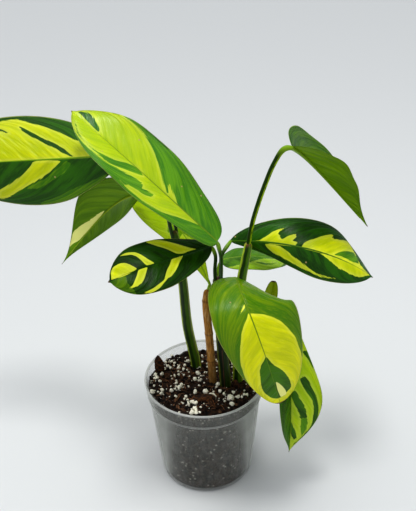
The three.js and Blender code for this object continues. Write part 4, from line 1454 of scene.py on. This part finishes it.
def pot_finish(look):
    """Clouded clear plastic: it hides more of the mix where the wall turns away from the eye.

    The lip, the step under the band and the rounded bottom edge are thicker, and show paler, partly as
    painted highlights.
    """
    finish = Finish("clear_plastic", Roughness=look.roughness, IOR=1.49, Specular_IOR_Level=0.2)
    place = finish.place()
    x, y, height = finish.parts(place)
    cloud = finish.noise(place, 60, 3)
    grit = finish.noise(place, 800, 3)
    scuff = finish.noise(finish.vector(x, y, finish.times(height, 0.12)), 500, 2)
    plastic = look.plastic
    # Pale lines at the lip, the step and the bottom edge: partly thicker plastic, partly painted
    # highlights
    lines = finish.step(height, (POT_HEIGHT - 2.2) * MM, (POT_HEIGHT - 1.2) * MM)
    thick_highlit_lines = ((BAND_BOTTOM - 0.5, 0.95, 1.0), (BASE_CORNER_RADIUS - 0.6, 0.5, 0.5))
    for level, reach, strength in thick_highlit_lines:
        away = finish.math("ABSOLUTE", finish.math("SUBTRACT", height, level * MM))
        line = finish.step(away, (reach + 0.35) * MM, (reach - 0.35) * MM)
        lines = finish.math("MAXIMUM", lines, finish.times(line, strength))
    cloudy = finish.step(cloud, 0.4, 0.6)
    colour = finish.mix(cloudy, plastic, mixed(plastic, CLOUD_WHITE, 0.12))
    colour = finish.mix(lines, colour, mixed(plastic, LINE_WHITE, 0.55))
    finish.surface("Base Color", colour)
    turned_away = finish.math("POWER", finish.facing(), 8.0)
    gritty = finish.step(grit, 0.5, 0.66)
    # risen makes the wall paler higher up: painted shade that darkens it towards the bottom
    risen = finish.step(height, 0.2 * POT_HEIGHT * MM, POT_HEIGHT * MM)
    in_band = finish.step(height, BAND_BOTTOM * MM, (BAND_BOTTOM + 1) * MM)
    hiding = look.clouding
    for cause, strength in (
        (turned_away, 2.2), (gritty, 0.03), (risen, 0.035), (in_band, 0.06), (lines, 0.42),
    ):
        hiding = finish.times_plus(cause, strength, hiding)
    finish.surface("Alpha", finish.math("MINIMUM", hiding, 0.95))
    finish.bump(scuff, 0.00012, 0.25)
    return finish.material


def cut(target, cutter):
    """Takes the cutter's shape out of the target for good, and removes the cutter."""
    modifier = target.modifiers.new("drain_holes", "BOOLEAN")
    modifier.operation = "DIFFERENCE"
    modifier.solver = "EXACT"
    modifier.object = cutter
    graph = bpy.context.evaluated_depsgraph_get()
    old = target.data
    new = bpy.data.meshes.new_from_object(target.evaluated_get(graph))
    target.modifiers.remove(modifier)
    target.data = new
    bpy.data.objects.remove(cutter)
    bpy.data.meshes.remove(old)


def soil_height(x, y):
    """The height of the mix: a slope that is highest at the front, with soft lumps."""
    large = np.sin(x / 6 + 1) * np.cos(y / 5)
    small = 0.6 * np.sin((x + y) / 3.7)
    return SOIL_LEVEL + SOIL_SLOPE * y + SOIL_LUMP * (large + small)


def soil_radius(height):
    """The radius of the mix at a height, just inside the pot's wall."""
    levels = [BASE_CORNER_RADIUS, BAND_BOTTOM - SHOULDER_STEP, BAND_BOTTOM, POT_HEIGHT]
    radii = [BASE_RADIUS, SHOULDER_RADIUS, RIM_BAND_BOTTOM_RADIUS, RIM_RADIUS - 0.3]
    return np.interp(height, levels, radii) - POT_WALL - SOIL_WALL_GAP


def rough_waves(x, y, z, draw, count, shortest, longest):
    """A rough height: many sine waves that run in drawn directions, with drawn lengths."""
    ways = unit(draw.normal(size=(count, 3)))
    lengths = draw.uniform(shortest, longest, count)
    starts = draw.uniform(0, 2 * np.pi, count)
    run = x[..., None] * ways[:, 0] + y[..., None] * ways[:, 1] + z[..., None] * ways[:, 2]
    waves = np.sin(2 * np.pi * run / lengths + starts) * lengths
    return waves.sum(-1) / lengths.sum() * 3


def mix_shell(draw):
    """The mix: a floor, a side that follows the pot's wall, and a rough top down to its middle.

    The side is pressed in and out a little where crumbs meet the wall.
    """
    floor = np.array([(0.3, SOIL_FLOOR), (20, SOIL_FLOOR), (BASE_RADIUS - 6, SOIL_FLOOR)])
    levels = np.linspace(BASE_CORNER_RADIUS + 0.5, SOIL_LEVEL - 4, MIX_WALL_RINGS)
    wall = np.stack([soil_radius(levels), levels], -1)
    low = turned(np.concatenate([floor, wall]), MIX_SIDES)
    rough = rough_waves(*np.moveaxis(low, -1, 0), draw, *MIX_SIDE_WAVES)
    pressed = np.repeat([0.0, 1.0], [len(floor), len(wall)])[:, None]
    low[..., :2] *= 1 - (MIX_SIDE_PRESS * pressed * (1 + rough))[..., None]
    edge = soil_radius(SOIL_LEVEL - 2) - 0.4
    radius = np.linspace(1, 0.01, MIX_TOP_RINGS)[:, None] * edge
    turns = ring_turns(MIX_SIDES)
    x, y = radius * np.cos(turns), radius * np.sin(turns)
    lumps = rough_waves(x, y, 0 * x, draw, *MIX_TOP_WAVES)
    drop = MIX_EDGE_DROP * (radius / edge) ** 14
    z = soil_height(x, y) + MIX_LUMP_RISE * lumps - drop
    return skin(np.concatenate([low, np.stack([x, y, z], -1)]))


def mix_finish(look):
    """Dark moist mix: brown crumbs and pale specks of perlite through it.

    Where it presses against the pot's wall, a painted haze stands in for the light that the clouded
    wall scatters and greys it, and specks and grit show faintly.
    """
    finish = Finish("potting_mix", Roughness=0.9, Specular_IOR_Level=0.25)
    place = finish.place()
    x, y, height = finish.parts(place)
    crumbs = finish.noise(place, 260, 5)
    patches = finish.noise(place, 70, 3)
    scuff = finish.noise(finish.vector(x, y, finish.times(height, 0.2)), 420, 3)
    radius = finish.math("SQRT", finish.times_plus(x, x, finish.times(y, y)))
    outer = finish.step(radius, *(limit * MM for limit in SIDE_RADII))
    low = finish.step(height, *((SOIL_LEVEL - depth) * MM for depth in SIDE_DEPTHS))
    at_wall = finish.math("MAXIMUM", outer, low)
    peat, bark, perlite = look.peat, look.bark, look.perlite

    colour = finish.mix(
        finish.step(crumbs, 0.35, 0.7), mixed(peat, BLACK, 0.6), mixed(peat, bark, 0.16)
    )
    colour = finish.mix(finish.step(patches, 0.5, 0.75), colour, mixed(peat, bark, 0.12))
    # Painted haze: the clouded wall's scattered light, laid on the mix where it meets the wall
    painted_haze = finish.times_plus(finish.step(scuff, 0.38, 0.66), 0.3, 0.25)
    painted_haze = finish.times_plus(finish.step(crumbs, 0.45, 0.62), 0.18, painted_haze)
    colour = finish.mix(finish.times(painted_haze, at_wall), colour, look.painted_haze)

    specks = finish.step(finish.cells(place, 230), 0.3, 0.16)
    rare = finish.step(finish.noise(place, 120, 1), 0.5, 0.56)
    pale = finish.mix(at_wall, perlite, mixed(peat, perlite, 0.3))
    colour = finish.mix(finish.times(specks, rare), colour, pale)
    grit = finish.step(finish.cells(place, 640), 0.24, 0.12)
    grit = finish.times(grit, finish.step(patches, 0.45, 0.6))
    colour = finish.mix(finish.times(grit, at_wall), colour, mixed(peat, perlite, 0.16))
    dust = finish.step(finish.cells(place, 480), 0.36, 0.18)
    dust = finish.times(dust, finish.step(patches, 0.36, 0.56))
    dust = finish.times(dust, finish.step(height, *(level * MM for level in DUST_HEIGHTS)))
    colour = finish.mix(finish.times(dust, outer), colour, mixed(peat, perlite, 0.5))
    finish.surface("Base Color", colour)
    finish.bump(crumbs, 0.0012, 0.8)
    return finish.material


def split_in_four(points, faces):
    """Splits each triangle of a ball in four, with the new corners raised to the ball."""
    points = list(points)
    made = {}

    def between(a, b):
        """The number of the corner halfway between two, made once for both triangles there."""
        key = (min(a, b), max(a, b))
        if key not in made:
            made[key] = len(points)
            points.append(unit(points[a] + points[b]))
        return made[key]

    split = []
    for a, b, c in faces:
        ab, bc, ca = between(a, b), between(b, c), between(c, a)
        split += [(a, ab, ca), (ab, b, bc), (ca, bc, c), (ab, bc, ca)]
    return np.array(points), np.array(split)


def lump_shape(refined):
    """The points and triangles of a twenty-sided solid, with each face split in four if refined.

    Its corners are those of three golden rectangles, and its sides join corners less than 1.1
    apart, which only the nearest are.
    """
    golden = (1 + 5**0.5) / 2
    rectangle = [(s, t * golden, 0) for s in (-1, 1) for t in (-1, 1)]
    points = unit(np.array([np.roll(point, k) for k in range(3) for point in rectangle], float))
    near = np.linalg.norm(points[:, None] - points, axis=-1) < 1.1
    faces = np.array([
        (a, b, c)
        for a in range(12) for b in range(a + 1, 12) for c in range(b + 1, 12)
        if near[a, b] and near[b, c] and near[a, c]
    ])
    if refined:
        points, faces = split_in_four(points, faces)
    a, b, c = (points[faces[:, k]] for k in range(3))
    inward = (np.cross(b - a, c - a) * (a + b + c)).sum(1) < 0
    faces[inward] = faces[inward][:, ::-1]
    return points, faces


def drawn_turns(draw, count):
    """Drawn rotations, each a three by three array made from a unit quaternion."""
    w, x, y, z = unit(draw.normal(size=(count, 4))).T
    rows = [
        [1 - 2 * (y * y + z * z), 2 * (x * y - z * w), 2 * (x * z + y * w)],
        [2 * (x * y + z * w), 1 - 2 * (x * x + z * z), 2 * (y * z - x * w)],
        [2 * (x * z - y * w), 2 * (y * z + x * w), 1 - 2 * (x * x + y * y)],
    ]
    return np.moveaxis(np.array(rows), -1, 0)


def drawn_sizes(draw, count, least, spread, rarity):
    """Drawn sizes: the least, and on top an even draw's power of the spread."""
    return least + spread * draw.uniform(size=count) ** rarity


def lumps_shell(places, sizes, draw, refined, unevenness, squash):
    """Many lumps as one shell: one shape, stretched, dented and turned anew at each place."""
    shape, faces = lump_shape(refined)
    count = len(places)
    dents = 1 + unevenness * draw.normal(size=(count, len(shape), 1))
    stretch = draw.uniform(squash, 1, size=(count, 1, 3))
    points = shape[None] * np.clip(dents, 0.55, 1.5) * stretch * sizes[:, None, None]
    points = np.einsum("nij,nkj->nki", drawn_turns(draw, count), points) + places[:, None]
    blocks = faces[None] + (np.arange(count) * len(shape))[:, None, None]
    return points.reshape(-1, 3), [blocks.reshape(-1, 3)]


def on_mix(x, y, lift):
    """Points over the mix, lifted from it."""
    return np.stack([x, y, soil_height(x, y) + lift], -1)


def chip_rings(x, y, z, at, turn, lift=0.0):
    """Rings turned about the upright axis, with their heights counted from the mix at a place."""
    cos_turn, sin_turn = math.cos(turn), math.sin(turn)
    level = soil_height(*np.array(at, float)) + lift
    return np.stack([
        at[0] + x * cos_turn - y * sin_turn, at[1] + x * sin_turn + y * cos_turn, level + z,
    ], -1)


def scattered(draw, count, margin):
    """Drawn places on the mix, even over its area and clear of the pot's wall."""
    radius = (soil_radius(SOIL_LEVEL) - margin) * np.sqrt(draw.uniform(size=count))
    turn = draw.uniform(0, 2 * np.pi, count)
    return radius * np.cos(turn), radius * np.sin(turn)


def perlite_places(draw, count):
    """Drawn places for perlite: two thirds in its heaps, the rest anywhere on the mix."""
    heaps = draw.integers(0, len(PERLITE_HEAPS), count)
    centres, spreads = (np.array(values, float)[heaps] for values in zip(*PERLITE_HEAPS))
    x, y = (centres + draw.normal(size=(count, 2)) * spreads[:, None] * HEAP_TIGHTNESS).T
    away_x, away_y = scattered(draw, count, LOOSE_PERLITE_MARGIN)
    loose = draw.uniform(size=count) < LOOSE_PERLITE
    x, y = np.where(loose, away_x, x), np.where(loose, away_y, y)
    limit = soil_radius(SOIL_LEVEL) - PERLITE_MARGIN
    shrink = np.minimum(1, limit / np.maximum(np.hypot(x, y), 1))
    return x * shrink, y * shrink


def perlite_finish(look):
    """White grains with brown stains and dark pores."""
    finish = Finish("perlite", Roughness=0.85, Specular_IOR_Level=0.3)
    place = finish.place()
    pores = finish.noise(place, 1400, 3)
    stain = finish.noise(place, 330, 3)
    perlite, bark = look.perlite, look.bark
    colour = finish.mix(finish.step(stain, 0.5, 0.72), perlite, mixed(perlite, bark, 0.35))
    colour = finish.layer(colour, mixed(perlite, bark, 0.5), 0.5, pores, 0.5, 0.35)
    finish.surface("Base Color", colour)
    finish.bump(pores, 0.0005, 0.8)
    return finish.material


def bark_finish(name, light, dark, field=None):
    """Bark: long grain between two browns, dull and rough, along each chip where it has a field."""
    finish = Finish(name, Roughness=0.85, Specular_IOR_Level=0.2)
    if field:
        x, y, z = finish.attribute(field)
        grain = finish.noise(finish.vector(finish.times(x, 0.2), y, z), 1.4, 4)
        blotch = finish.white(finish.vector(0.0, 0.0, z))
    else:
        place = finish.place()
        grain = finish.noise(place, 420, 4)
        blotch = finish.noise(place, 110, 2)
    colour = finish.mix(finish.step(grain, 0.38, 0.66), dark, light)
    colour = finish.layer(colour, dark, 0.8, blotch, 0.25, 0.75)
    finish.surface("Base Color", colour)
    finish.bump(grain, 0.0014, 0.9)
    return finish.material


def plate_shell(at, width, height, thickness, turn, draw):
    """A plate of bark that stands in the mix: flat rings whose width follows a pointed outline.

    Each ring is a squashed square with round corners, dented by waves. The plate is rooted a
    third of its height deep.
    """
    rows, sides = 26, 24
    share = np.linspace(0, 1, rows)[:, None]
    outline = np.interp(share, [0, 0.55, 0.75, 0.9, 1], [1, 0.95, 0.8, 0.5, 0.08])
    turns = ring_turns(sides)
    x = signed_power(np.cos(turns), 0.6) * width / 2 * outline
    y = signed_power(np.sin(turns), 0.7) * thickness / 2 * (0.35 + 0.65 * outline)
    z = -height / 3 + share * height * 4 / 3 + 0 * x
    rough = rough_waves(x, 2 * y, z, draw, *PLATE_WAVES)
    x = x * (1 + 0.07 * rough) + 0.6 * np.sin(share * 4)
    y = y * (1 + 0.16 * rough)
    return skin(chip_rings(x, y, z, at, turn))


def flake_shell(at, length, width, thickness, turn, tilt, draw, rows=6, sides=8):
    """A flake of bark that lies on the mix: rings along its length, blunt at both ends.

    Its field holds each point's place along and across the flake, with a drawn third number.
    """
    share = np.linspace(-1, 1, rows)[:, None]
    ripple = 1 + 0.1 * np.sin(5 * share + draw.uniform(0, 6))
    outline = (1 - np.abs(share) ** 3.5 * 0.82) * ripple
    turns = ring_turns(sides)
    x = share * length / 2 + 0 * turns
    y = signed_power(np.cos(turns), 0.65) * width / 2 * outline
    z = signed_power(np.sin(turns), 0.65) * thickness / 2 * outline
    rough = rough_waves(x * 0.5, 2 * y, z, draw, *FLAKE_WAVES)
    y = y * (1 + 0.12 * rough)
    z = z * (1 + 0.3 * rough) + x * math.sin(tilt)
    place = np.stack([x, y, np.full(x.shape, draw.uniform(0, 50))], -1)
    return skin(chip_rings(x, y, z, at, turn, lift=0.35 * thickness)), capped(place)


def fibre_shell(at, draw):
    """A loose fibre: a thin five-sided tube along a curved route that lies on the mix."""
    length = draw.uniform(*FIBRE_LENGTHS)
    heading = draw.uniform(0, 2 * np.pi)
    share = np.linspace(-0.5, 0.5, 10)
    bend = heading + draw.uniform(*FIBRE_BENDS) * share
    x = at[0] + length * share * np.cos(bend)
    y = at[1] + length * share * np.sin(bend)
    path = on_mix(x, y, 0.7 + draw.uniform(0, 1.6) * np.cos(np.pi * share) ** 2)
    radius = draw.uniform(*FIBRE_RADII) * np.sqrt(1 - (1.9 * share) ** 2 * 0.9)
    return skin(swept(path, radius[:, None], (0, 0, 1), 5))


class PLANT_OT_pot(Operator):
    """Make the clear pot with its drainage holes"""

    bl_idname = "plant.pot"
    bl_label = "Pot"

    def execute(self, context):
        shell = skin(turned(pot_profile(), POT_SIDES))
        finish = pot_finish(context.scene.pot_look)
        pot = piece("pot_shell", shell, finish, "pot")
        rings = turned([(DRAIN_HOLE_RADIUS, -2), (DRAIN_HOLE_RADIUS, 3 * POT_WALL)], HOLE_SIDES)
        holes = []
        for i in range(DRAIN_HOLES):
            turn = 2 * math.pi * (i + 0.5) / DRAIN_HOLES
            centre = np.array([math.cos(turn), math.sin(turn), 0]) * DRAIN_HOLE_CIRCLE
            holes.append(skin(rings + centre))
        cut(pot, linked("drain_holes", mesh_of("drain_holes", joined(holes))))
        return {"FINISHED"}


class PLANT_OT_mix(Operator):
    """Make the body of the potting mix"""

    bl_idname = "plant.mix"
    bl_label = "Potting mix"

    def execute(self, context):
        look = context.scene.mix_look
        draw = np.random.default_rng(look.seed)
        piece("mix_body", mix_shell(draw), mix_finish(look), "soil")
        return {"FINISHED"}


class PLANT_OT_grains(Operator):
    """Scatter perlite grains and dark crumbs over the mix"""

    bl_idname = "plant.grains"
    bl_label = "Perlite and crumbs"

    def execute(self, context):
        look = context.scene.mix_look
        draw = np.random.default_rng(look.seed + 1)
        x, y = perlite_places(draw, look.perlite_count)
        sizes = drawn_sizes(draw, look.perlite_count, **PERLITE_RADII)
        places = on_mix(x, y, 0.35 + 0.5 * sizes)
        large = sizes > LARGE_GRAIN
        grains = joined([
            lumps_shell(places[large], sizes[large], draw, True, 0.15, 0.55),
            lumps_shell(places[~large], sizes[~large], draw, False, 0.1, 0.6),
        ])
        piece("perlite", grains, perlite_finish(look), "soil")
        x, y = scattered(draw, look.crumb_count, CRUMB_MARGIN)
        sizes = drawn_sizes(draw, look.crumb_count, **CRUMB_RADII)
        crumbs = lumps_shell(on_mix(x, y, 0.3 * sizes), sizes, draw, False, 0.2, 0.45)
        light, dark = mixed(look.peat, look.bark, 0.15), mixed(look.peat, BLACK, 0.6)
        finish = bark_finish("crumbs", light, dark)
        piece("crumbs", crumbs, finish, "soil", smooth=False)
        return {"FINISHED"}


class PLANT_OT_bark(Operator):
    """Make the bark chips that stand in the mix and lie on it"""

    bl_idname = "plant.bark"
    bl_label = "Bark chips"

    def execute(self, context):
        look = context.scene.mix_look
        draw = np.random.default_rng(look.seed + 2)
        peat, bark = look.peat, look.bark
        chips = [plate_shell(**chip, draw=draw) for chip in STANDING_CHIPS]
        chips.append(flake_shell(**LYING_CHIP, tilt=0.03, draw=draw, rows=24, sides=18)[0])
        finish = bark_finish("bark_chips", mixed(peat, bark, 0.62), mixed(peat, bark, 0.04))
        piece("bark_chips", joined(chips), finish, "soil")
        flakes = []
        for at in zip(*scattered(draw, look.bark_count, FLAKE_MARGIN)):
            length = drawn_sizes(draw, None, **FLAKE_LENGTHS)
            flakes.append(flake_shell(
                at, length, length * draw.uniform(*FLAKE_WIDTH_SHARES),
                draw.uniform(*FLAKE_THICKNESSES), draw.uniform(0, 2 * np.pi),
                draw.uniform(*FLAKE_TILTS), draw,
            ))
        shells, places = zip(*flakes)
        light, dark = mixed(bark, GREY_BARK, 0.3), mixed(peat, bark, 0.14)
        finish = bark_finish("bark_lying", light, dark, "bark_place")
        fields = {"bark_place": np.concatenate(places)}
        piece("bark_lying", joined(shells), finish, "soil", fields)
        return {"FINISHED"}


class PLANT_OT_fibres(Operator):
    """Scatter loose fibres over the mix"""

    bl_idname = "plant.fibres"
    bl_label = "Fibres"

    def execute(self, context):
        look = context.scene.mix_look
        draw = np.random.default_rng(look.seed + 3)
        places = zip(*scattered(draw, look.fibre_count, FIBRE_MARGIN))
        fibres = joined([fibre_shell(at, draw) for at in places])
        light, dark = mixed(look.bark, PALE_FIBRE, 0.35), mixed(look.peat, look.bark, 0.7)
        finish = bark_finish("fibres", light, dark)
        piece("fibres", fibres, finish, "soil")
        return {"FINISHED"}


class PLANT_OT_stems(Operator):
    """Make the green stems, wrapped in their sheaths"""

    bl_idname = "plant.stems"
    bl_label = "Stems"

    def execute(self, context):
        look = context.scene.stem_look
        for name, stem in STEMS.items():
            shell, fields = stem_shell(stem, STEM_SIDES, STEM_RINGS, stem["overlap"])
            finish = stem_finish(name, look, stem["route"][-1][2], stem["shadow"])
            piece(f"{name}_sheath", shell, finish, name, fields)
        return {"FINISHED"}


class PLANT_OT_cane(Operator):
    """Make the dry cane, swollen at its rings"""

    bl_idname = "plant.cane"
    bl_label = "Dry cane"

    def execute(self, context):
        (points, faces), fields = stem_shell(CANE, CANE_SIDES, CANE_TUBE_RINGS, CANE_OVERLAP)
        height = points[:, 2]
        x, y, levels = smooth_route(CANE["route"], CURVE_STEPS).T
        middle = np.stack([np.interp(height, levels, x), np.interp(height, levels, y)], -1)
        swell = sum(np.exp(-(((height - ring) / CANE_RING_REACH) ** 2)) for ring in CANE_RINGS)
        points[:, :2] += (points[:, :2] - middle) * (CANE_RING_RISE * swell)[:, None]
        finish = cane_finish(context.scene.stem_look)
        piece("cane_bark", (points, faces), finish, "cane_dry", fields)
        return {"FINISHED"}


class PLANT_OT_leaves(Operator):
    """Make every leaf: its blade with its markings, its stalk and its midrib"""

    bl_idname = "plant.leaves"
    bl_label = "Leaves"

    def execute(self, context):
        look = context.scene.leaf_look
        for seed, (name, leaf) in enumerate(LEAVES.items()):
            blade, blade_fields = blade_shell(name, leaf, look)
            stalk, stalk_fields = stalk_shell(leaf)
            fields = {
                field: np.concatenate([values, stalk_fields[field]])
                for field, values in blade_fields.items()
            }
            finish = leaf_finish(name, look, seed)
            piece(f"{name}_blade", joined([blade, stalk]), finish, name, fields)
        return {"FINISHED"}


def studio_floor(look):
    """The pale floor, a plain square."""
    reach = FLOOR_REACH
    mesh = bpy.data.meshes.new("floor")
    corners = [(-reach, -reach, 0), (reach, -reach, 0), (reach, reach, 0), (-reach, reach, 0)]
    mesh.from_pydata(corners, [], [(0, 1, 2, 3)])
    finish = Finish("floor", Roughness=0.75, Specular_IOR_Level=0.2)
    finish.surface("Base Color", look.floor)
    mesh.materials.append(finish.material)
    linked("floor", mesh)


def studio_light(look):
    """The broad window light and the near panel, and the world that lights from all round.

    The world is handed back for the scene.
    """
    world = bpy.data.worlds.new("studio")
    world.use_nodes = True
    background = world.node_tree.nodes["Background"]
    background.inputs["Color"].default_value = (*display(*AMBIENT_COLOUR), 1)
    background.inputs["Strength"].default_value = look.ambient
    window = bpy.data.lights.new("window", "SUN")
    window.energy = look.window
    window.angle = math.radians(WINDOW_BREADTH)
    panel = bpy.data.lights.new("panel", "AREA")
    panel.energy = look.panel
    panel.size = PANEL_SIZE
    for light, at in ((window, WINDOW_AT), (panel, PANEL_AT)):
        lamp = linked(light.name, light)
        lamp.location = at
        towards = Vector(LIGHT_AIM) - Vector(at)
        lamp.rotation_euler = towards.to_track_quat("-Z", "Y").to_euler()
    return world


def photo_camera():
    """The photograph's camera, turned and then rolled about its own view."""
    camera = linked("camera", bpy.data.cameras.new("camera"))
    camera.data.lens = CAMERA_LENS
    camera.data.clip_start = CAMERA_NEAR
    camera.location = CAMERA_AT
    turn = Euler([math.radians(angle) for angle in CAMERA_TURN]).to_matrix()
    roll = Euler((0, 0, math.radians(CAMERA_ROLL))).to_matrix()
    camera.rotation_euler = (turn @ roll).to_euler()
    return camera


class PLANT_OT_stage(Operator):
    """Set the pale floor, the soft light and the photograph's camera"""

    bl_idname = "plant.stage"
    bl_label = "Stage"

    def execute(self, context):
        scene = context.scene
        studio_floor(scene.stage_look)
        scene.world = studio_light(scene.stage_look)
        scene.camera = photo_camera()
        scene.view_settings.view_transform = "Standard"
        scene.view_settings.gamma = PICTURE_GAMMA
        scene.view_settings.exposure = PICTURE_EXPOSURE
        return {"FINISHED"}


class PLANT_PT_sidebar(Panel):
    """Lists the pieces of the plant and their looks"""

    bl_idname = "PLANT_PT_sidebar"
    bl_label = "Potted Ctenanthe"
    bl_space_type = "VIEW_3D"
    bl_region_type = "UI"
    bl_category = "Ctenanthe"

    def draw(self, context):
        for label, look_name, operators in SECTIONS:
            box = self.layout.box()
            box.label(text=label)
            look = getattr(context.scene, look_name)
            for name in look.bl_rna.properties.keys():
                if name not in ("rna_type", "name"):
                    box.prop(look, name)
            for operator in operators:
                box.operator(operator.bl_idname)


# Each section of the sidebar: its label, its settings and its operators, in the order of making
SECTIONS = (
    ("Stage", "stage_look", (PLANT_OT_stage,)),
    ("Pot", "pot_look", (PLANT_OT_pot,)),
    ("Mix", "mix_look", (PLANT_OT_mix, PLANT_OT_grains, PLANT_OT_bark, PLANT_OT_fibres)),
    ("Stems", "stem_look", (PLANT_OT_stems, PLANT_OT_cane)),
    ("Leaves", "leaf_look", (PLANT_OT_leaves,)),
)
LOOKS = {
    "stage_look": StageLook,
    "pot_look": PotLook,
    "mix_look": MixLook,
    "stem_look": StemLook,
    "leaf_look": LeafLook,
}
OPERATORS = [operator for _, _, operators in SECTIONS for operator in operators]
CLASSES = (*LOOKS.values(), *OPERATORS, PLANT_PT_sidebar)


def register():
    """Makes the classes known, and gives each scene its settings."""
    for one in CLASSES:
        bpy.utils.register_class(one)
    for name, look in LOOKS.items():
        setattr(bpy.types.Scene, name, PointerProperty(type=look))


def unregister():
    """Takes back what register gives, in turn."""
    for name in LOOKS:
        delattr(bpy.types.Scene, name)
    for one in reversed(CLASSES):
        bpy.utils.unregister_class(one)


def main():
    """Makes every piece and the stage."""
    register()
    for operator in OPERATORS:
        getattr(bpy.ops.plant, operator.bl_idname.partition(".")[2])()


if __name__ == "__main__":
    main()
